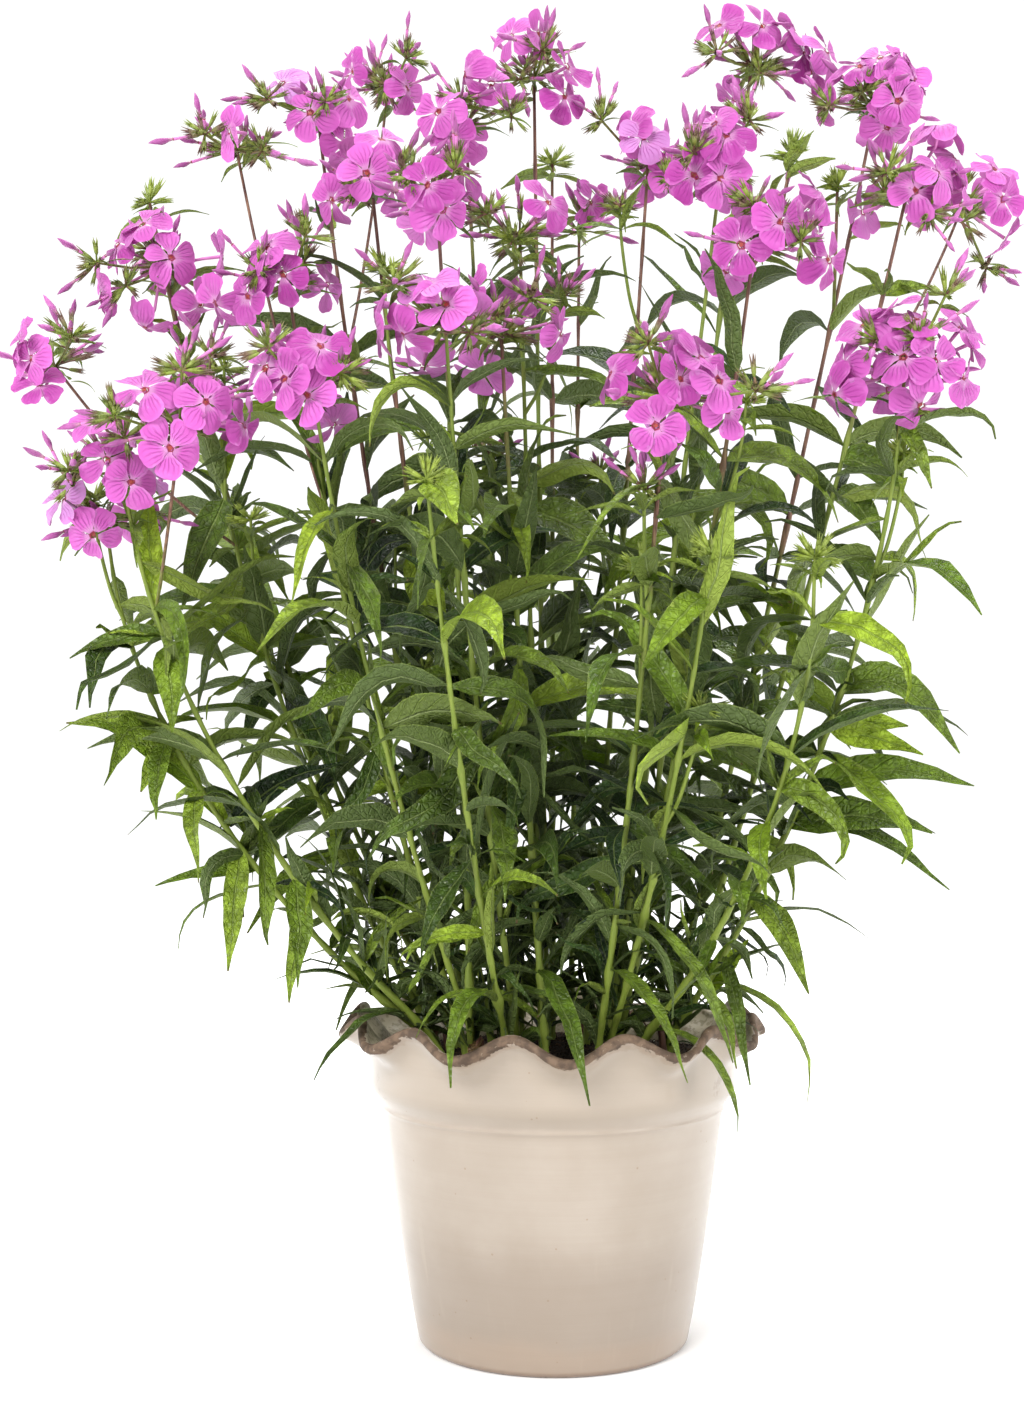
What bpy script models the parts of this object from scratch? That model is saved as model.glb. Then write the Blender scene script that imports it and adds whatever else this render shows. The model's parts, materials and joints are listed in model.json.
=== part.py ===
"""A tall phlox in a glazed pot with a wavy rim. Metres, +Z up, origin at the middle of the pot's base."""
import math
import random

import bmesh
import bpy
from mathutils import Quaternion, Vector, noise
from mathutils.bvhtree import BVHTree

MM = 0.001
MERGE = 0.00002            # points closer than this are one point

# pot
FOOT_RADIUS = 0.0585
WALL_LOW = 0.0605          # outer radius just above the rounded foot
WALL_HIGH = 0.0757         # outer radius just under the ring below the collar
WALL_BELLY = 0.0010        # how far the wall swells past a straight cone
BELLY_LOW = 0.6            # below 1 puts the swell in the lower half
FOOT_CORNER = 0.004
LEDGE_Z = 0.1025
RING_RADIUS = 0.0768       # small ring between the body and the collar
RING_Z = 0.1065
COLLAR_RADIUS = 0.0822
COLLAR_LOW = 0.1145        # where the collar's rounded underside ends
COLLAR_TOP = 0.128
FLARE_OUT = 0.003          # first step of the rim's flare above the collar
FLARE_UP = 0.006
RIM_RADIUS = 0.0935
RIM_Z = 0.1410
WALL = 0.006
FLOOR = 0.009
FLOOR_CORNER = 0.004
INNER_WALL_Z = (0.050, 0.090)
WIDENING_Z = 0.108         # where the inside widens into the collar
OUTER_WALL_Z = (0.072, 0.046, 0.022)
LOBES = 12
LOBE_PHASE = math.radians(18.0)
LOBE_HEIGHT = 0.0045
LOBE_FLARE = 0.0026
LOBE_FADE = 0.004          # the waves fade out this far below the collar's top
POT_STEPS = 60

# soil
SOIL_Z = 0.124
SOIL_CROWN = 0.005
SOIL_LUMP = 0.0016
SOIL_LUMP_SCALE = 70.0
SOIL_WALL_Z = (0.107, 0.0905, 0.05)
SOIL_CORNER = 0.006
SOIL_STEPS = 60            # as many as the pot, so the facets run side by side
SOCKET_DEPTH = 0.014
SOCKET_ABOVE = 0.012       # how far the socket's cutter stands out of the soil
COLLAR_OF_STEM = 0.008     # a shoot is upright until this far above the soil
GAP = 0.0003               # clearance between pieces that touch

# shoots
STEM_RADIUS = 0.0017
TIP_RADIUS = 0.0010
STEM_POINTS = 7
ROOT_SPREAD = 0.34         # how far a root stands out, as a share of its head's distance
ROOT_LIMIT = 0.055
ROOT_SPACING = 0.0085
ROOT_STEP = 0.0004         # how much further out each try for a free root goes
CLEAR = 0.0006             # clearance kept between two shoots
SWAYS = (0, 0.006, -0.006, 0.011, -0.011, 0.017, -0.017, 0.024, -0.024, 0.032, -0.032)

# leaves
LEAF_THICKNESS = 0.0009
LEAF_RINGS = (0.16, 0.5, 0.82)
LEAF_WIDTHS = (0.62, 1.0, 0.5)
LEAF_ASPECT = 0.21
LEAF_LEAST = 0.034         # length of the smallest leaves, at the top of a shoot
LEAF_EXTRA = 0.030         # how much longer the largest are
LEAF_MARGIN = 0.0007
LEAF_ROLL = math.radians(55)
GOLDEN = math.radians(137.5)

# flowers
FLOWER_RADIUS = 0.0138
PETAL_NOTCH = 0.62
PETAL_THICKNESS = 0.0018   # depth of the shallow cup under the lobes
TUBE_RADIUS = 0.0009
TUBE_START = 0.0015        # the tube starts this far from the middle of the hub
FLOWER_MARGIN = 0.0005
BUD_RADIUS = 0.0014
BUD_POINT = 0.0003
BUD_LENGTH = 0.012
BUD_REACH = 0.008          # from the middle of a green head to the middle of a bud
BUDS_PER_HEAD = 6
HUB_RADIUS = 0.0042        # top of the hub, where the flowers leave it
HUB_FOOT = 0.0020          # flat underside of the hub, which faces the end of its stalk
HUB_DEPTH = 0.0080
FLOWERS_PER_HEAD = 4
HEAD_OUTWARD = 4.0         # how strongly a head turns away from the plant's middle
HEAD_UPWARD = 0.75
HEAD_MIDDLE_Y = 0.10       # the heads turn away from a line this far behind the pot's axis
TOP_TILT = math.radians(18)
SIDE_TILT = math.radians(62)
TILT_PLAY = math.radians(8)
TUBE_LENGTH = 0.0215

# Each shoot: head centre x, y, z in millimetres, how early it leans out (below 1 is early),
# pairs of leaves, and what it carries.
SHOOTS = {
    "01": (-193, -40, 362, 0.42, 4, "flowers"),
    "02": (-182, -60, 380, 0.50, 4, "flowers"),
    "03": (-158, 12, 425, 0.62, 4, "flowers"),
    "04": (-98, -95, 406, 0.75, 4, "flowers"),
    "05": (-184, 45, 493, 0.72, 4, "flowers"),
    "06": (-117, -20, 468, 0.75, 4, "flowers"),
    "07": (-192, 55, 526, 0.72, 4, "buds"),
    "08": (-108, 20, 556, 0.80, 5, "flowers"),
    "09": (-51, -130, 366, 0.78, 4, "buds"),
    "10": (-81, -10, 516, 0.82, 4, "flowers"),
    "11": (-50, -52, 493, 0.85, 4, "flowers"),
    "12": (-40, 30, 555, 0.90, 5, "flowers"),
    "13": (-8, 45, 582, 1.00, 5, "flowers"),
    "14": (-23, -60, 437, 0.90, 4, "flowers"),
    "15": (-45, -98, 433, 0.74, 4, "flowers"),
    "16": (2, 110, 562, 0.85, 5, "buds"),
    "17": (-15, -20, 490, 1.00, 4, "flowers"),
    "18": (16, 120, 530, 0.80, 4, "flowers"),
    "19": (41, -118, 400, 0.80, 4, "flowers"),
    "20": (47, 60, 545, 0.95, 5, "flowers"),
    "21": (72, -35, 516, 0.95, 4, "flowers"),
    "22": (81, -75, 470, 0.85, 4, "flowers"),
    "23": (93, 30, 582, 0.95, 5, "flowers"),
    "24": (148, 15, 558, 0.92, 5, "flowers"),
    "25": (153, -30, 505, 0.88, 4, "flowers"),
    "26": (142, -80, 418, 0.45, 4, "flowers"),
    "27": (100, -112, 338, 0.30, 3, "buds"),
    "28": (58, -127, 338, 0.75, 3, "buds"),
    "29": (-62, 125, 425, 0.75, 4, "buds"),
    "30": (72, 118, 432, 0.75, 4, "buds"),
}

# Shoots that root close behind the rim, whatever side their heads are on, in millimetres.
FRONT_ROOTS = {"09": (-20, -52), "11": (-36, -38), "14": (-4, -48), "19": (18, -48)}

# Side branches that carry a flower head: parent shoot, where it forks, head centre in millimetres.
BRANCHES = {
    "01b": ("03", 0.80, (-224, 0, 436)),
    "02b": ("02", 0.80, (-152, -92, 392)),
    "06b": ("06", 0.74, (-143, 4, 535)),
    "08b": ("08", 0.78, (-80, 86, 590)),
    "25b": ("25", 0.80, (194, 42, 520)),
}

# Leaves that hang outside the mass: shoot, place along it, direction, length, rise and droop.
LONG_LEAVES = (
    ("01", 0.62, 185, 0.046, 20, 50),
    ("01", 0.60, 262, 0.042, -50, 25),
    ("01", 0.36, 170, 0.056, 45, 45),
    ("02", 0.30, 265, 0.052, -40, 35),
    ("02", 0.42, 178, 0.058, 25, 70),
    ("14", 0.12, 287, 0.084, -5, 62),
    ("09", 0.10, 249, 0.072, 40, 135),
    ("19", 0.14, 298, 0.075, 0, 65),
    ("02", 0.06, 212, 0.060, 10, 70),
    ("28", 0.30, 320, 0.072, -30, 45),
    ("26", 0.10, 328, 0.078, 10, 110),
    ("26", 0.50, 350, 0.060, 30, 75),
    ("26", 0.34, 5, 0.066, 28, 60),
    ("26", 0.20, 352, 0.060, 25, 70),
    ("27", 0.16, 300, 0.050, -5, 75),
    ("27", 0.05, 318, 0.066, 10, 100),
)


def clear_scene():
    for obj in list(bpy.data.objects):
        bpy.data.objects.remove(obj, do_unlink=True)


def make_collection(name):
    collection = bpy.data.collections.new(name)
    bpy.context.scene.collection.children.link(collection)
    return collection


def make_material(name, colour, roughness, metallic=0.0):
    material = bpy.data.materials.new(name)
    material.use_nodes = True
    shader = material.node_tree.nodes["Principled BSDF"]
    shader.inputs["Base Color"].default_value = (*colour, 1.0)
    shader.inputs["Roughness"].default_value = roughness
    shader.inputs["Metallic"].default_value = metallic
    return material


def object_from(name, mesh, collection, material=None, guide=False):
    obj = bpy.data.objects.new(name, mesh)
    collection.objects.link(obj)
    if material:
        mesh.materials.append(material)
    if guide:
        obj.hide_render = True
        obj.display_type = "WIRE"
    return obj


def mesh_from(name, bm):
    """Turn a bmesh into a mesh whose faces all point out."""
    bmesh.ops.recalc_face_normals(bm, faces=bm.faces)
    mesh = bpy.data.meshes.new(name)
    bm.to_mesh(mesh)
    bm.free()
    return mesh


def plain_mesh(obj, name):
    """The evaluated mesh of an object, as a mesh of its own with its doubles merged."""
    depsgraph = bpy.context.evaluated_depsgraph_get()
    mesh = bpy.data.meshes.new_from_object(obj.evaluated_get(depsgraph))
    mesh.name = name
    bm = bmesh.new()
    bm.from_mesh(mesh)
    bmesh.ops.remove_doubles(bm, verts=bm.verts, dist=MERGE)
    bmesh.ops.recalc_face_normals(bm, faces=bm.faces)
    bm.to_mesh(mesh)
    bm.free()
    return mesh


# ---- pot and soil


def wall_radius(z):
    """Outer radius of the pot's body, a cone that swells slightly."""
    share = (z - FOOT_CORNER) / (LEDGE_Z - FOOT_CORNER)
    swell = WALL_BELLY * math.sin(math.pi * max(0.0, share) ** BELLY_LOW)
    return WALL_LOW + (WALL_HIGH - WALL_LOW) * share + swell


def arc(centre_r, centre_z, radius, start, end, steps):
    """Points of a round stretch, with angles in degrees from +X towards +Z."""
    points = []
    for step in range(steps + 1):
        angle = math.radians(start + (end - start) * step / steps)
        points.append((centre_r + radius * math.cos(angle), centre_z + radius * math.sin(angle)))
    return points


def pot_profile():
    """The pot's section from the inner floor, up the inside, over the lip and down the outside."""
    lip = WALL / 2
    inner = [(0.0, FLOOR), (WALL_LOW - WALL - FLOOR_CORNER, FLOOR)]
    for z in (FLOOR + FLOOR_CORNER, *INNER_WALL_Z):
        inner.append((wall_radius(z) - WALL, z))
    inner.append((COLLAR_RADIUS - WALL, WIDENING_Z))
    inner.append((COLLAR_RADIUS - WALL, COLLAR_TOP))
    lip_arc = arc(RIM_RADIUS - lip, RIM_Z, lip, 180, -20, 4)
    outer = [(COLLAR_RADIUS + FLARE_OUT, COLLAR_TOP + FLARE_UP)]
    outer.append((COLLAR_RADIUS, COLLAR_TOP - LOBE_FADE))
    outer += [(COLLAR_RADIUS - 0.0008, COLLAR_LOW), (COLLAR_RADIUS - 0.0034, COLLAR_LOW - 0.0042)]
    outer += [(RING_RADIUS, RING_Z), (wall_radius(LEDGE_Z), LEDGE_Z)]
    for z in OUTER_WALL_Z:
        outer.append((wall_radius(z), z))
    outer += [(WALL_LOW, FOOT_CORNER), (FOOT_RADIUS, 0.0), (0.0, 0.0)]
    return inner + lip_arc + outer


def turned(name, profile, steps, collection):
    """A profile spun about +Z by a Screw modifier, as a plain closed mesh."""
    bm = bmesh.new()
    verts = [bm.verts.new((r, 0.0, z)) for r, z in profile]
    for first, second in zip(verts, verts[1:]):
        bm.edges.new((first, second))
    mesh = bpy.data.meshes.new(name)
    bm.to_mesh(mesh)
    bm.free()
    obj = object_from(name + "_profile", mesh, collection, guide=True)
    screw = obj.modifiers.new("Turn", "SCREW")
    screw.steps = steps
    screw.render_steps = steps
    screw.use_merge_vertices = True
    screw.merge_threshold = 0.0001
    result = plain_mesh(obj, name)
    bpy.data.objects.remove(obj, do_unlink=True)
    return result


def wave(x, y, z):
    """How far the wavy rim lifts and flares a point of the pot's upper part."""
    share = min(1.0, max(0.0, (z - COLLAR_TOP + LOBE_FADE) / (RIM_Z - COLLAR_TOP + LOBE_FADE)))
    share = share * share * (3 - 2 * share)
    lobe = math.cos(LOBES * (math.atan2(x, -y) - LOBE_PHASE))
    return share * LOBE_HEIGHT * lobe, -share * LOBE_FLARE * lobe


def build_pot(collection, guides, material):
    mesh = turned("pot", pot_profile(), POT_STEPS, guides)
    for vert in mesh.vertices:
        x, y, z = vert.co
        radius = math.hypot(x, y)
        if radius > COLLAR_RADIUS / 2:
            lift, flare = wave(x, y, z)
            scale = (radius + flare) / radius
            vert.co = (x * scale, y * scale, z + lift)
    mesh.shade_smooth()
    return object_from("pot", mesh, collection, material)


def soil_height(x, y):
    """Top of the potting mix: a low crown with soft lumps."""
    radius = math.hypot(x, y) / COLLAR_RADIUS
    lump = noise.noise(Vector((x, y, 0.0)) * SOIL_LUMP_SCALE)
    return SOIL_Z + SOIL_CROWN * (1 - radius * radius) + SOIL_LUMP * lump


def build_soil(roots, collection, guides, material):
    inside = COLLAR_RADIUS - WALL - 2 * GAP   # the lobes' crests lean in above it
    profile = [(0.0, SOIL_Z)] + [(inside * step / 4, SOIL_Z) for step in range(1, 5)]
    for z in SOIL_WALL_Z:
        profile.append((min(inside, wall_radius(min(z, INNER_WALL_Z[-1])) - WALL - GAP), z))
    profile += [(WALL_LOW - WALL - SOIL_CORNER, FLOOR + GAP), (0.0, FLOOR + GAP)]
    mesh = turned("soil", profile, SOIL_STEPS, guides)
    for vert in mesh.vertices:
        if vert.co.z > SOIL_Z - MM:
            vert.co.z = soil_height(vert.co.x, vert.co.y)
    soil = object_from("soil", mesh, collection, material)
    bm = bmesh.new()
    for root in roots:
        ring = bmesh.ops.create_cone(
            bm, cap_ends=True, segments=8, radius1=STEM_RADIUS + 2 * GAP,
            radius2=STEM_RADIUS + 2 * GAP, depth=2 * SOCKET_DEPTH + SOCKET_ABOVE)
        bmesh.ops.translate(bm, verts=ring["verts"], vec=(root.x, root.y, SOIL_Z + SOCKET_ABOVE / 2))
    sockets = object_from("sockets", mesh_from("sockets", bm), guides, guide=True)
    cut = soil.modifiers.new("Sockets", "BOOLEAN")
    cut.operation = "DIFFERENCE"
    cut.object = sockets
    return soil


# ---- how the shoots grow


def choose_roots():
    """A root for each shoot, on the side where its head is, spaced apart in the soil."""
    roots = {}
    for key, (x, y, *_rest) in SHOOTS.items():
        rng = random.Random("root" + key)
        wanted = Vector((x, y, 0.0)) * MM * ROOT_SPREAD
        if key in FRONT_ROOTS:
            wanted = Vector((*FRONT_ROOTS[key], 0.0)) * MM
        if wanted.length > ROOT_LIMIT:
            wanted = wanted.normalized() * ROOT_LIMIT
        spot = wanted
        reach = 0.0
        while any((spot - other).length < ROOT_SPACING for other in roots.values()) \
                or spot.length > ROOT_LIMIT + 4 * MM:
            reach += ROOT_STEP
            angle = rng.uniform(0, 2 * math.pi)
            spot = wanted + Vector((math.cos(angle), math.sin(angle), 0.0)) * reach
        roots[key] = spot
    return roots


def shoot_path(root, head, bow, sway):
    """Points up a shoot: upright in its socket, leaning out, then rising to the head."""
    base = Vector((root.x, root.y, SOIL_Z - SOCKET_DEPTH + MM))
    collar = Vector((root.x, root.y, SOIL_Z + COLLAR_OF_STEM))
    points = [base, collar]
    across = Vector((-(head.y - root.y), head.x - root.x, 0.0))
    across = across.normalized() if across.length > MM else Vector((1, 0, 0))
    for step in range(1, STEM_POINTS):
        share = step / (STEM_POINTS - 1)
        lean = share * (1 - (1 - bow) * 1.5 * (share - 1))
        point = Vector((
            collar.x + (head.x - collar.x) * lean,
            collar.y + (head.y - collar.y) * lean,
            collar.z + (head.z - collar.z) * share,
        ))
        points.append(point + across * sway * math.sin(math.pi * share))
    return points


def branch_path(parent, fork, head):
    """Points along a side branch, from inside the parent shoot out to its head."""
    start = point_along(parent, fork)
    rise = Vector((0, 0, (head - start).length * 0.3))
    middle = (start + head) / 2 - rise * 0.4
    points = []
    for step in range(6):
        share = step / 5
        points.append(start * (1 - share) ** 2 + middle * 2 * share * (1 - share) + head * share ** 2)
    return points


def point_along(path, share):
    place = share * (len(path) - 1)
    index = min(int(place), len(path) - 2)
    return path[index].lerp(path[index + 1], place - index)


def path_distance(first, second):
    """Smallest distance between two paths, by close samples of both."""
    samples = [point_along(first, step / 70) for step in range(71)]
    others = [point_along(second, step / 70) for step in range(71)]
    return min((a - b).length for a in samples for b in others)


def grow_shoots(roots):
    """Sway each shoot sideways until it is clear of those that already stand."""
    paths = {}
    for key, (x, y, z, bow, _pairs, _kind) in SHOOTS.items():
        head = Vector((x, y, z)) * MM
        best = None
        for sway in SWAYS:
            path = shoot_path(roots[key], head, bow, sway)
            room = min((path_distance(path, other) for other in paths.values()), default=1.0)
            if best is None or room > best[0]:
                best = (room, path)
            if room > 2 * STEM_RADIUS + 3 * CLEAR:
                break
        paths[key] = best[1]
    return paths


# ---- meshes of the plant


def tube(points, start_radius, end_radius, name, collection):
    """A tapering round stalk, from a curve with a bevel and closed ends."""
    curve = bpy.data.curves.new(name, "CURVE")
    curve.dimensions = "3D"
    curve.bevel_depth = 1.0
    curve.bevel_resolution = 1
    curve.use_fill_caps = True
    spline = curve.splines.new("POLY")
    spline.points.add(len(points) - 1)
    for index, point in enumerate(points):
        spline.points[index].co = (*point, 1.0)
        share = index / (len(points) - 1)
        spline.points[index].radius = start_radius + (end_radius - start_radius) * share
    obj = object_from(name + "_curve", curve, collection, guide=True)
    mesh = plain_mesh(obj, name)
    bpy.data.objects.remove(obj, do_unlink=True)
    bpy.data.curves.remove(curve)
    return mesh


def leaf_frame(base, azimuth, rise, droop, length, share):
    """A point on a leaf's midrib with its direction, as the leaf bends down towards its tip."""
    outward = Vector((math.cos(azimuth), math.sin(azimuth), 0.0))
    point = base.copy()
    parts = 12
    direction = outward
    for part in range(parts):
        angle = rise - droop * (part + 0.5) / parts
        direction = outward * math.cos(angle) + Vector((0, 0, math.sin(angle)))
        if part / parts >= share:
            break
        point += direction * length / parts * min(1.0, share * parts - part)
    return point, direction


def add_leaf(bm, leaf, thickness=LEAF_THICKNESS, margin=0.0):
    """A thin closed blade: pointed at both ends, flat above and keeled along the midrib below.

    The roll is the same all along, because a thin blade that twists would pass through itself.
    """
    base, azimuth, rise, droop, length, width, roll = leaf
    level = Vector((-math.sin(azimuth), math.cos(azimuth), 0.0))
    rings = []
    for share, scale in zip(LEAF_RINGS, LEAF_WIDTHS):
        point, direction = leaf_frame(base, azimuth, rise, droop, length, share)
        side = Quaternion(direction, roll) @ level
        normal = direction.cross(side).normalized()
        half = side * (width * scale / 2 + margin)
        top = normal * margin
        keel = -normal * (thickness + margin)
        rings.append([bm.verts.new(point + offset) for offset in (half + top, -half + top, keel)])
    root = bm.verts.new(base)
    tip = bm.verts.new(leaf_frame(base, azimuth, rise, droop, length, 1.0)[0])
    for index in range(3):
        after = (index + 1) % 3
        bm.faces.new((root, rings[0][index], rings[0][after]))
        bm.faces.new((tip, rings[-1][after], rings[-1][index]))
        for lower, upper in zip(rings, rings[1:]):
            bm.faces.new((lower[index], upper[index], upper[after]))
            bm.faces.new((lower[index], upper[after], lower[after]))


def head_directions(key, head, count):
    """Where the flowers of a head face: spread about a line up and away from the plant's middle."""
    rng = random.Random("head" + key)
    axis = Vector((head.x, head.y - HEAD_MIDDLE_Y, 0.0)) * HEAD_OUTWARD + Vector((0, 0, HEAD_UPWARD))
    axis.normalize()
    side = axis.orthogonal().normalized()
    other = axis.cross(side)
    directions = []
    for index in range(count):
        tilt = TOP_TILT if index == 0 else SIDE_TILT + rng.uniform(-TILT_PLAY, TILT_PLAY)
        turn = index * 2 * math.pi / max(1, count - 1) + rng.uniform(-0.2, 0.2)
        sideways = side * math.cos(turn) + other * math.sin(turn)
        directions.append((axis * math.cos(tilt) + sideways * math.sin(tilt)).normalized())
    return directions


def add_flower(bm, hub, direction, margin=0.0):
    """A slender corolla tube that opens into a flat five-lobed flower."""
    side = direction.orthogonal().normalized()
    other = direction.cross(side)
    face = hub + direction * TUBE_LENGTH

    def ring(centre, radii, count):
        verts = []
        for index in range(count):
            angle = 2 * math.pi * index / count
            radius = radii[index % len(radii)]
            verts.append(bm.verts.new(centre + (side * math.cos(angle) + other * math.sin(angle)) * radius))
        return verts

    rim = ring(face, (FLOWER_RADIUS + margin, FLOWER_RADIUS * PETAL_NOTCH + margin), 10)
    neck = ring(face - direction * (PETAL_THICKNESS + margin), (TUBE_RADIUS + margin,), 5)
    foot = ring(hub + direction * TUBE_START, (TUBE_RADIUS + margin,), 5)
    bm.faces.new(rim)
    bm.faces.new(list(reversed(foot)))
    for index in range(5):
        after = (index + 1) % 5
        bm.faces.new((foot[index], foot[after], neck[after], neck[index]))
        low, middle, high = 2 * index, 2 * index + 1, (2 * index + 2) % 10
        bm.faces.new((neck[index], rim[middle], rim[low]))
        bm.faces.new((neck[index], neck[after], rim[middle]))
        bm.faces.new((neck[after], rim[high], rim[middle]))


def add_hub(bm, hub, way):
    """The swollen end of a flowering stalk, flat underneath and square to the stalk."""
    core = bmesh.ops.create_cone(
        bm, cap_ends=True, segments=6, radius1=HUB_FOOT, radius2=HUB_RADIUS, depth=HUB_DEPTH)
    bmesh.ops.rotate(bm, verts=core["verts"], cent=(0, 0, 0), matrix=way.to_track_quat("Z", "Y").to_matrix())
    bmesh.ops.translate(bm, verts=core["verts"], vec=hub)


def shorten(path, distance):
    """Cut a stalk back from the middle of its head, and return the way its end points."""
    way = (path[-1] - path[-2]).normalized()
    path[-1] = path[-1] - way * distance
    return way


def add_buds(bm, hub, key):
    """A green head: a small core with pointed calyces standing out of it."""
    core = bmesh.ops.create_icosphere(bm, subdivisions=1, radius=HUB_RADIUS)
    bmesh.ops.translate(bm, verts=core["verts"], vec=hub)
    rng = random.Random("buds" + key)
    for index in range(BUDS_PER_HEAD):
        turn = index * GOLDEN
        lift = math.radians(rng.uniform(5, 70))
        way = Vector((math.cos(turn) * math.cos(lift), math.sin(turn) * math.cos(lift), math.sin(lift)))
        spike = bmesh.ops.create_cone(
            bm, cap_ends=True, segments=4, radius1=BUD_RADIUS, radius2=BUD_POINT, depth=BUD_LENGTH)
        turnover = way.to_track_quat("Z", "Y").to_matrix()
        bmesh.ops.rotate(bm, verts=spike["verts"], cent=(0, 0, 0), matrix=turnover)
        bmesh.ops.translate(bm, verts=spike["verts"], vec=hub + way * BUD_REACH)


# ---- keeping pieces apart


class Crowd:
    """What already stands, by owner, to test whether a new piece is clear of it."""

    def __init__(self):
        self.items = []

    @staticmethod
    def shape(bm):
        bm.verts.ensure_lookup_table()
        points = [vert.co.copy() for vert in bm.verts]
        faces = [[vert.index for vert in face.verts] for face in bm.faces]
        low = [min(point[axis] for point in points) for axis in range(3)]
        high = [max(point[axis] for point in points) for axis in range(3)]
        return BVHTree.FromPolygons(points, faces), low, high

    def add(self, owner, bm):
        bm.verts.index_update()
        self.items.append((owner, *self.shape(bm)))

    def is_clear(self, owner, bm):
        bm.verts.index_update()
        tree, low, high = self.shape(bm)
        for other, other_tree, other_low, other_high in self.items:
            if other == owner:
                continue
            if any(low[axis] > other_high[axis] or high[axis] < other_low[axis] for axis in range(3)):
                continue
            if tree.overlap(other_tree):
                return False
        return True


def grown(bm_maker):
    """A bmesh filled by the given function."""
    bm = bmesh.new()
    bm_maker(bm)
    return bm


def add_object_shape(crowd, owner, mesh, swell):
    """Put a finished mesh in the crowd, slightly swollen along its normals."""
    bm = bmesh.new()
    bm.from_mesh(mesh)
    bm.normal_update()
    moves = [vert.normal * swell for vert in bm.verts]
    for vert, move in zip(bm.verts, moves):
        vert.co += move
    crowd.add(owner, bm)
    bm.free()


# ---- shoots with their leaves, and heads


def place_head(crowd, key, hub, wanted):
    """The flowers of a head that stay clear of everything that stands near it."""
    kept = []
    for direction in head_directions(key, hub, wanted):
        for turn in (0, 14, -14, 28, -28, 42):
            axis = direction.orthogonal()
            tried = direction.copy()
            tried.rotate(Quaternion(axis, math.radians(turn)))
            probe = grown(lambda bm: add_flower(bm, hub, tried, FLOWER_MARGIN))
            free = crowd.is_clear("head" + key, probe)
            if free:
                crowd.add("head" + key, probe)
                kept.append(tried)
            probe.free()
            if free:
                break
    return kept


def place_leaf(crowd, owner, leaf):
    """The leaf itself or a slightly turned or shorter one that is clear, or None."""
    base, azimuth, rise, droop, length, width, roll = leaf
    for turn, lift, scale in (
            (0, 0, 1), (12, 0, 1), (-12, 0, 1), (0, 12, 0.92), (0, -14, 0.92), (24, 5, 0.85),
            (-24, 5, 0.85), (36, -8, 0.75), (-36, -8, 0.75), (0, 20, 0.6), (18, -20, 0.55)):
        tried = (base, azimuth + math.radians(turn), rise + math.radians(lift), droop,
                 length * scale, width * scale, roll)
        probe = grown(lambda bm: add_leaf(bm, tried, margin=LEAF_MARGIN))
        free = crowd.is_clear(owner, probe)
        if free:
            crowd.add(owner, probe)
        probe.free()
        if free:
            return tried
    return None


def leaves_of(crowd, key, path, pairs):
    """Opposite pairs up a shoot, each pair turned a quarter from the one below."""
    rng = random.Random("leaves" + key)
    leaves = []
    start = rng.uniform(0, 2 * math.pi)
    for shoot, share, degrees, length, rise, droop in LONG_LEAVES:
        if shoot == key:
            leaf = (point_along(path, 0.15 + share * 0.85), math.radians(degrees), math.radians(rise),
                    math.radians(droop), length, length * LEAF_ASPECT, 0.0)
            found = place_leaf(crowd, "stem" + key, leaf)
            if found:
                leaves.append(found)
    for pair in range(pairs):
        share = 0.17 + 0.72 * (pair + 0.5 * rng.random()) / pairs
        size = LEAF_LEAST + LEAF_EXTRA * math.sin(math.pi * min(1.0, 0.25 + 0.75 * (1 - share)))
        for half in (0, 1):
            azimuth = start + pair * math.pi / 2 + half * math.pi + rng.uniform(-0.3, 0.3)
            length = size * rng.uniform(0.85, 1.15)
            rise = math.radians(rng.uniform(25, 50))
            droop = math.radians(rng.uniform(45, 100))
            roll = rng.uniform(-LEAF_ROLL, LEAF_ROLL)
            leaf = (point_along(path, share), azimuth, rise, droop, length, length * LEAF_ASPECT, roll)
            found = place_leaf(crowd, "stem" + key, leaf)
            if found:
                leaves.append(found)
    return leaves


def union(obj, other):
    join = obj.modifiers.new("Join " + other.name, "BOOLEAN")
    join.operation = "UNION"
    join.object = other
    join.use_self = True


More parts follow.
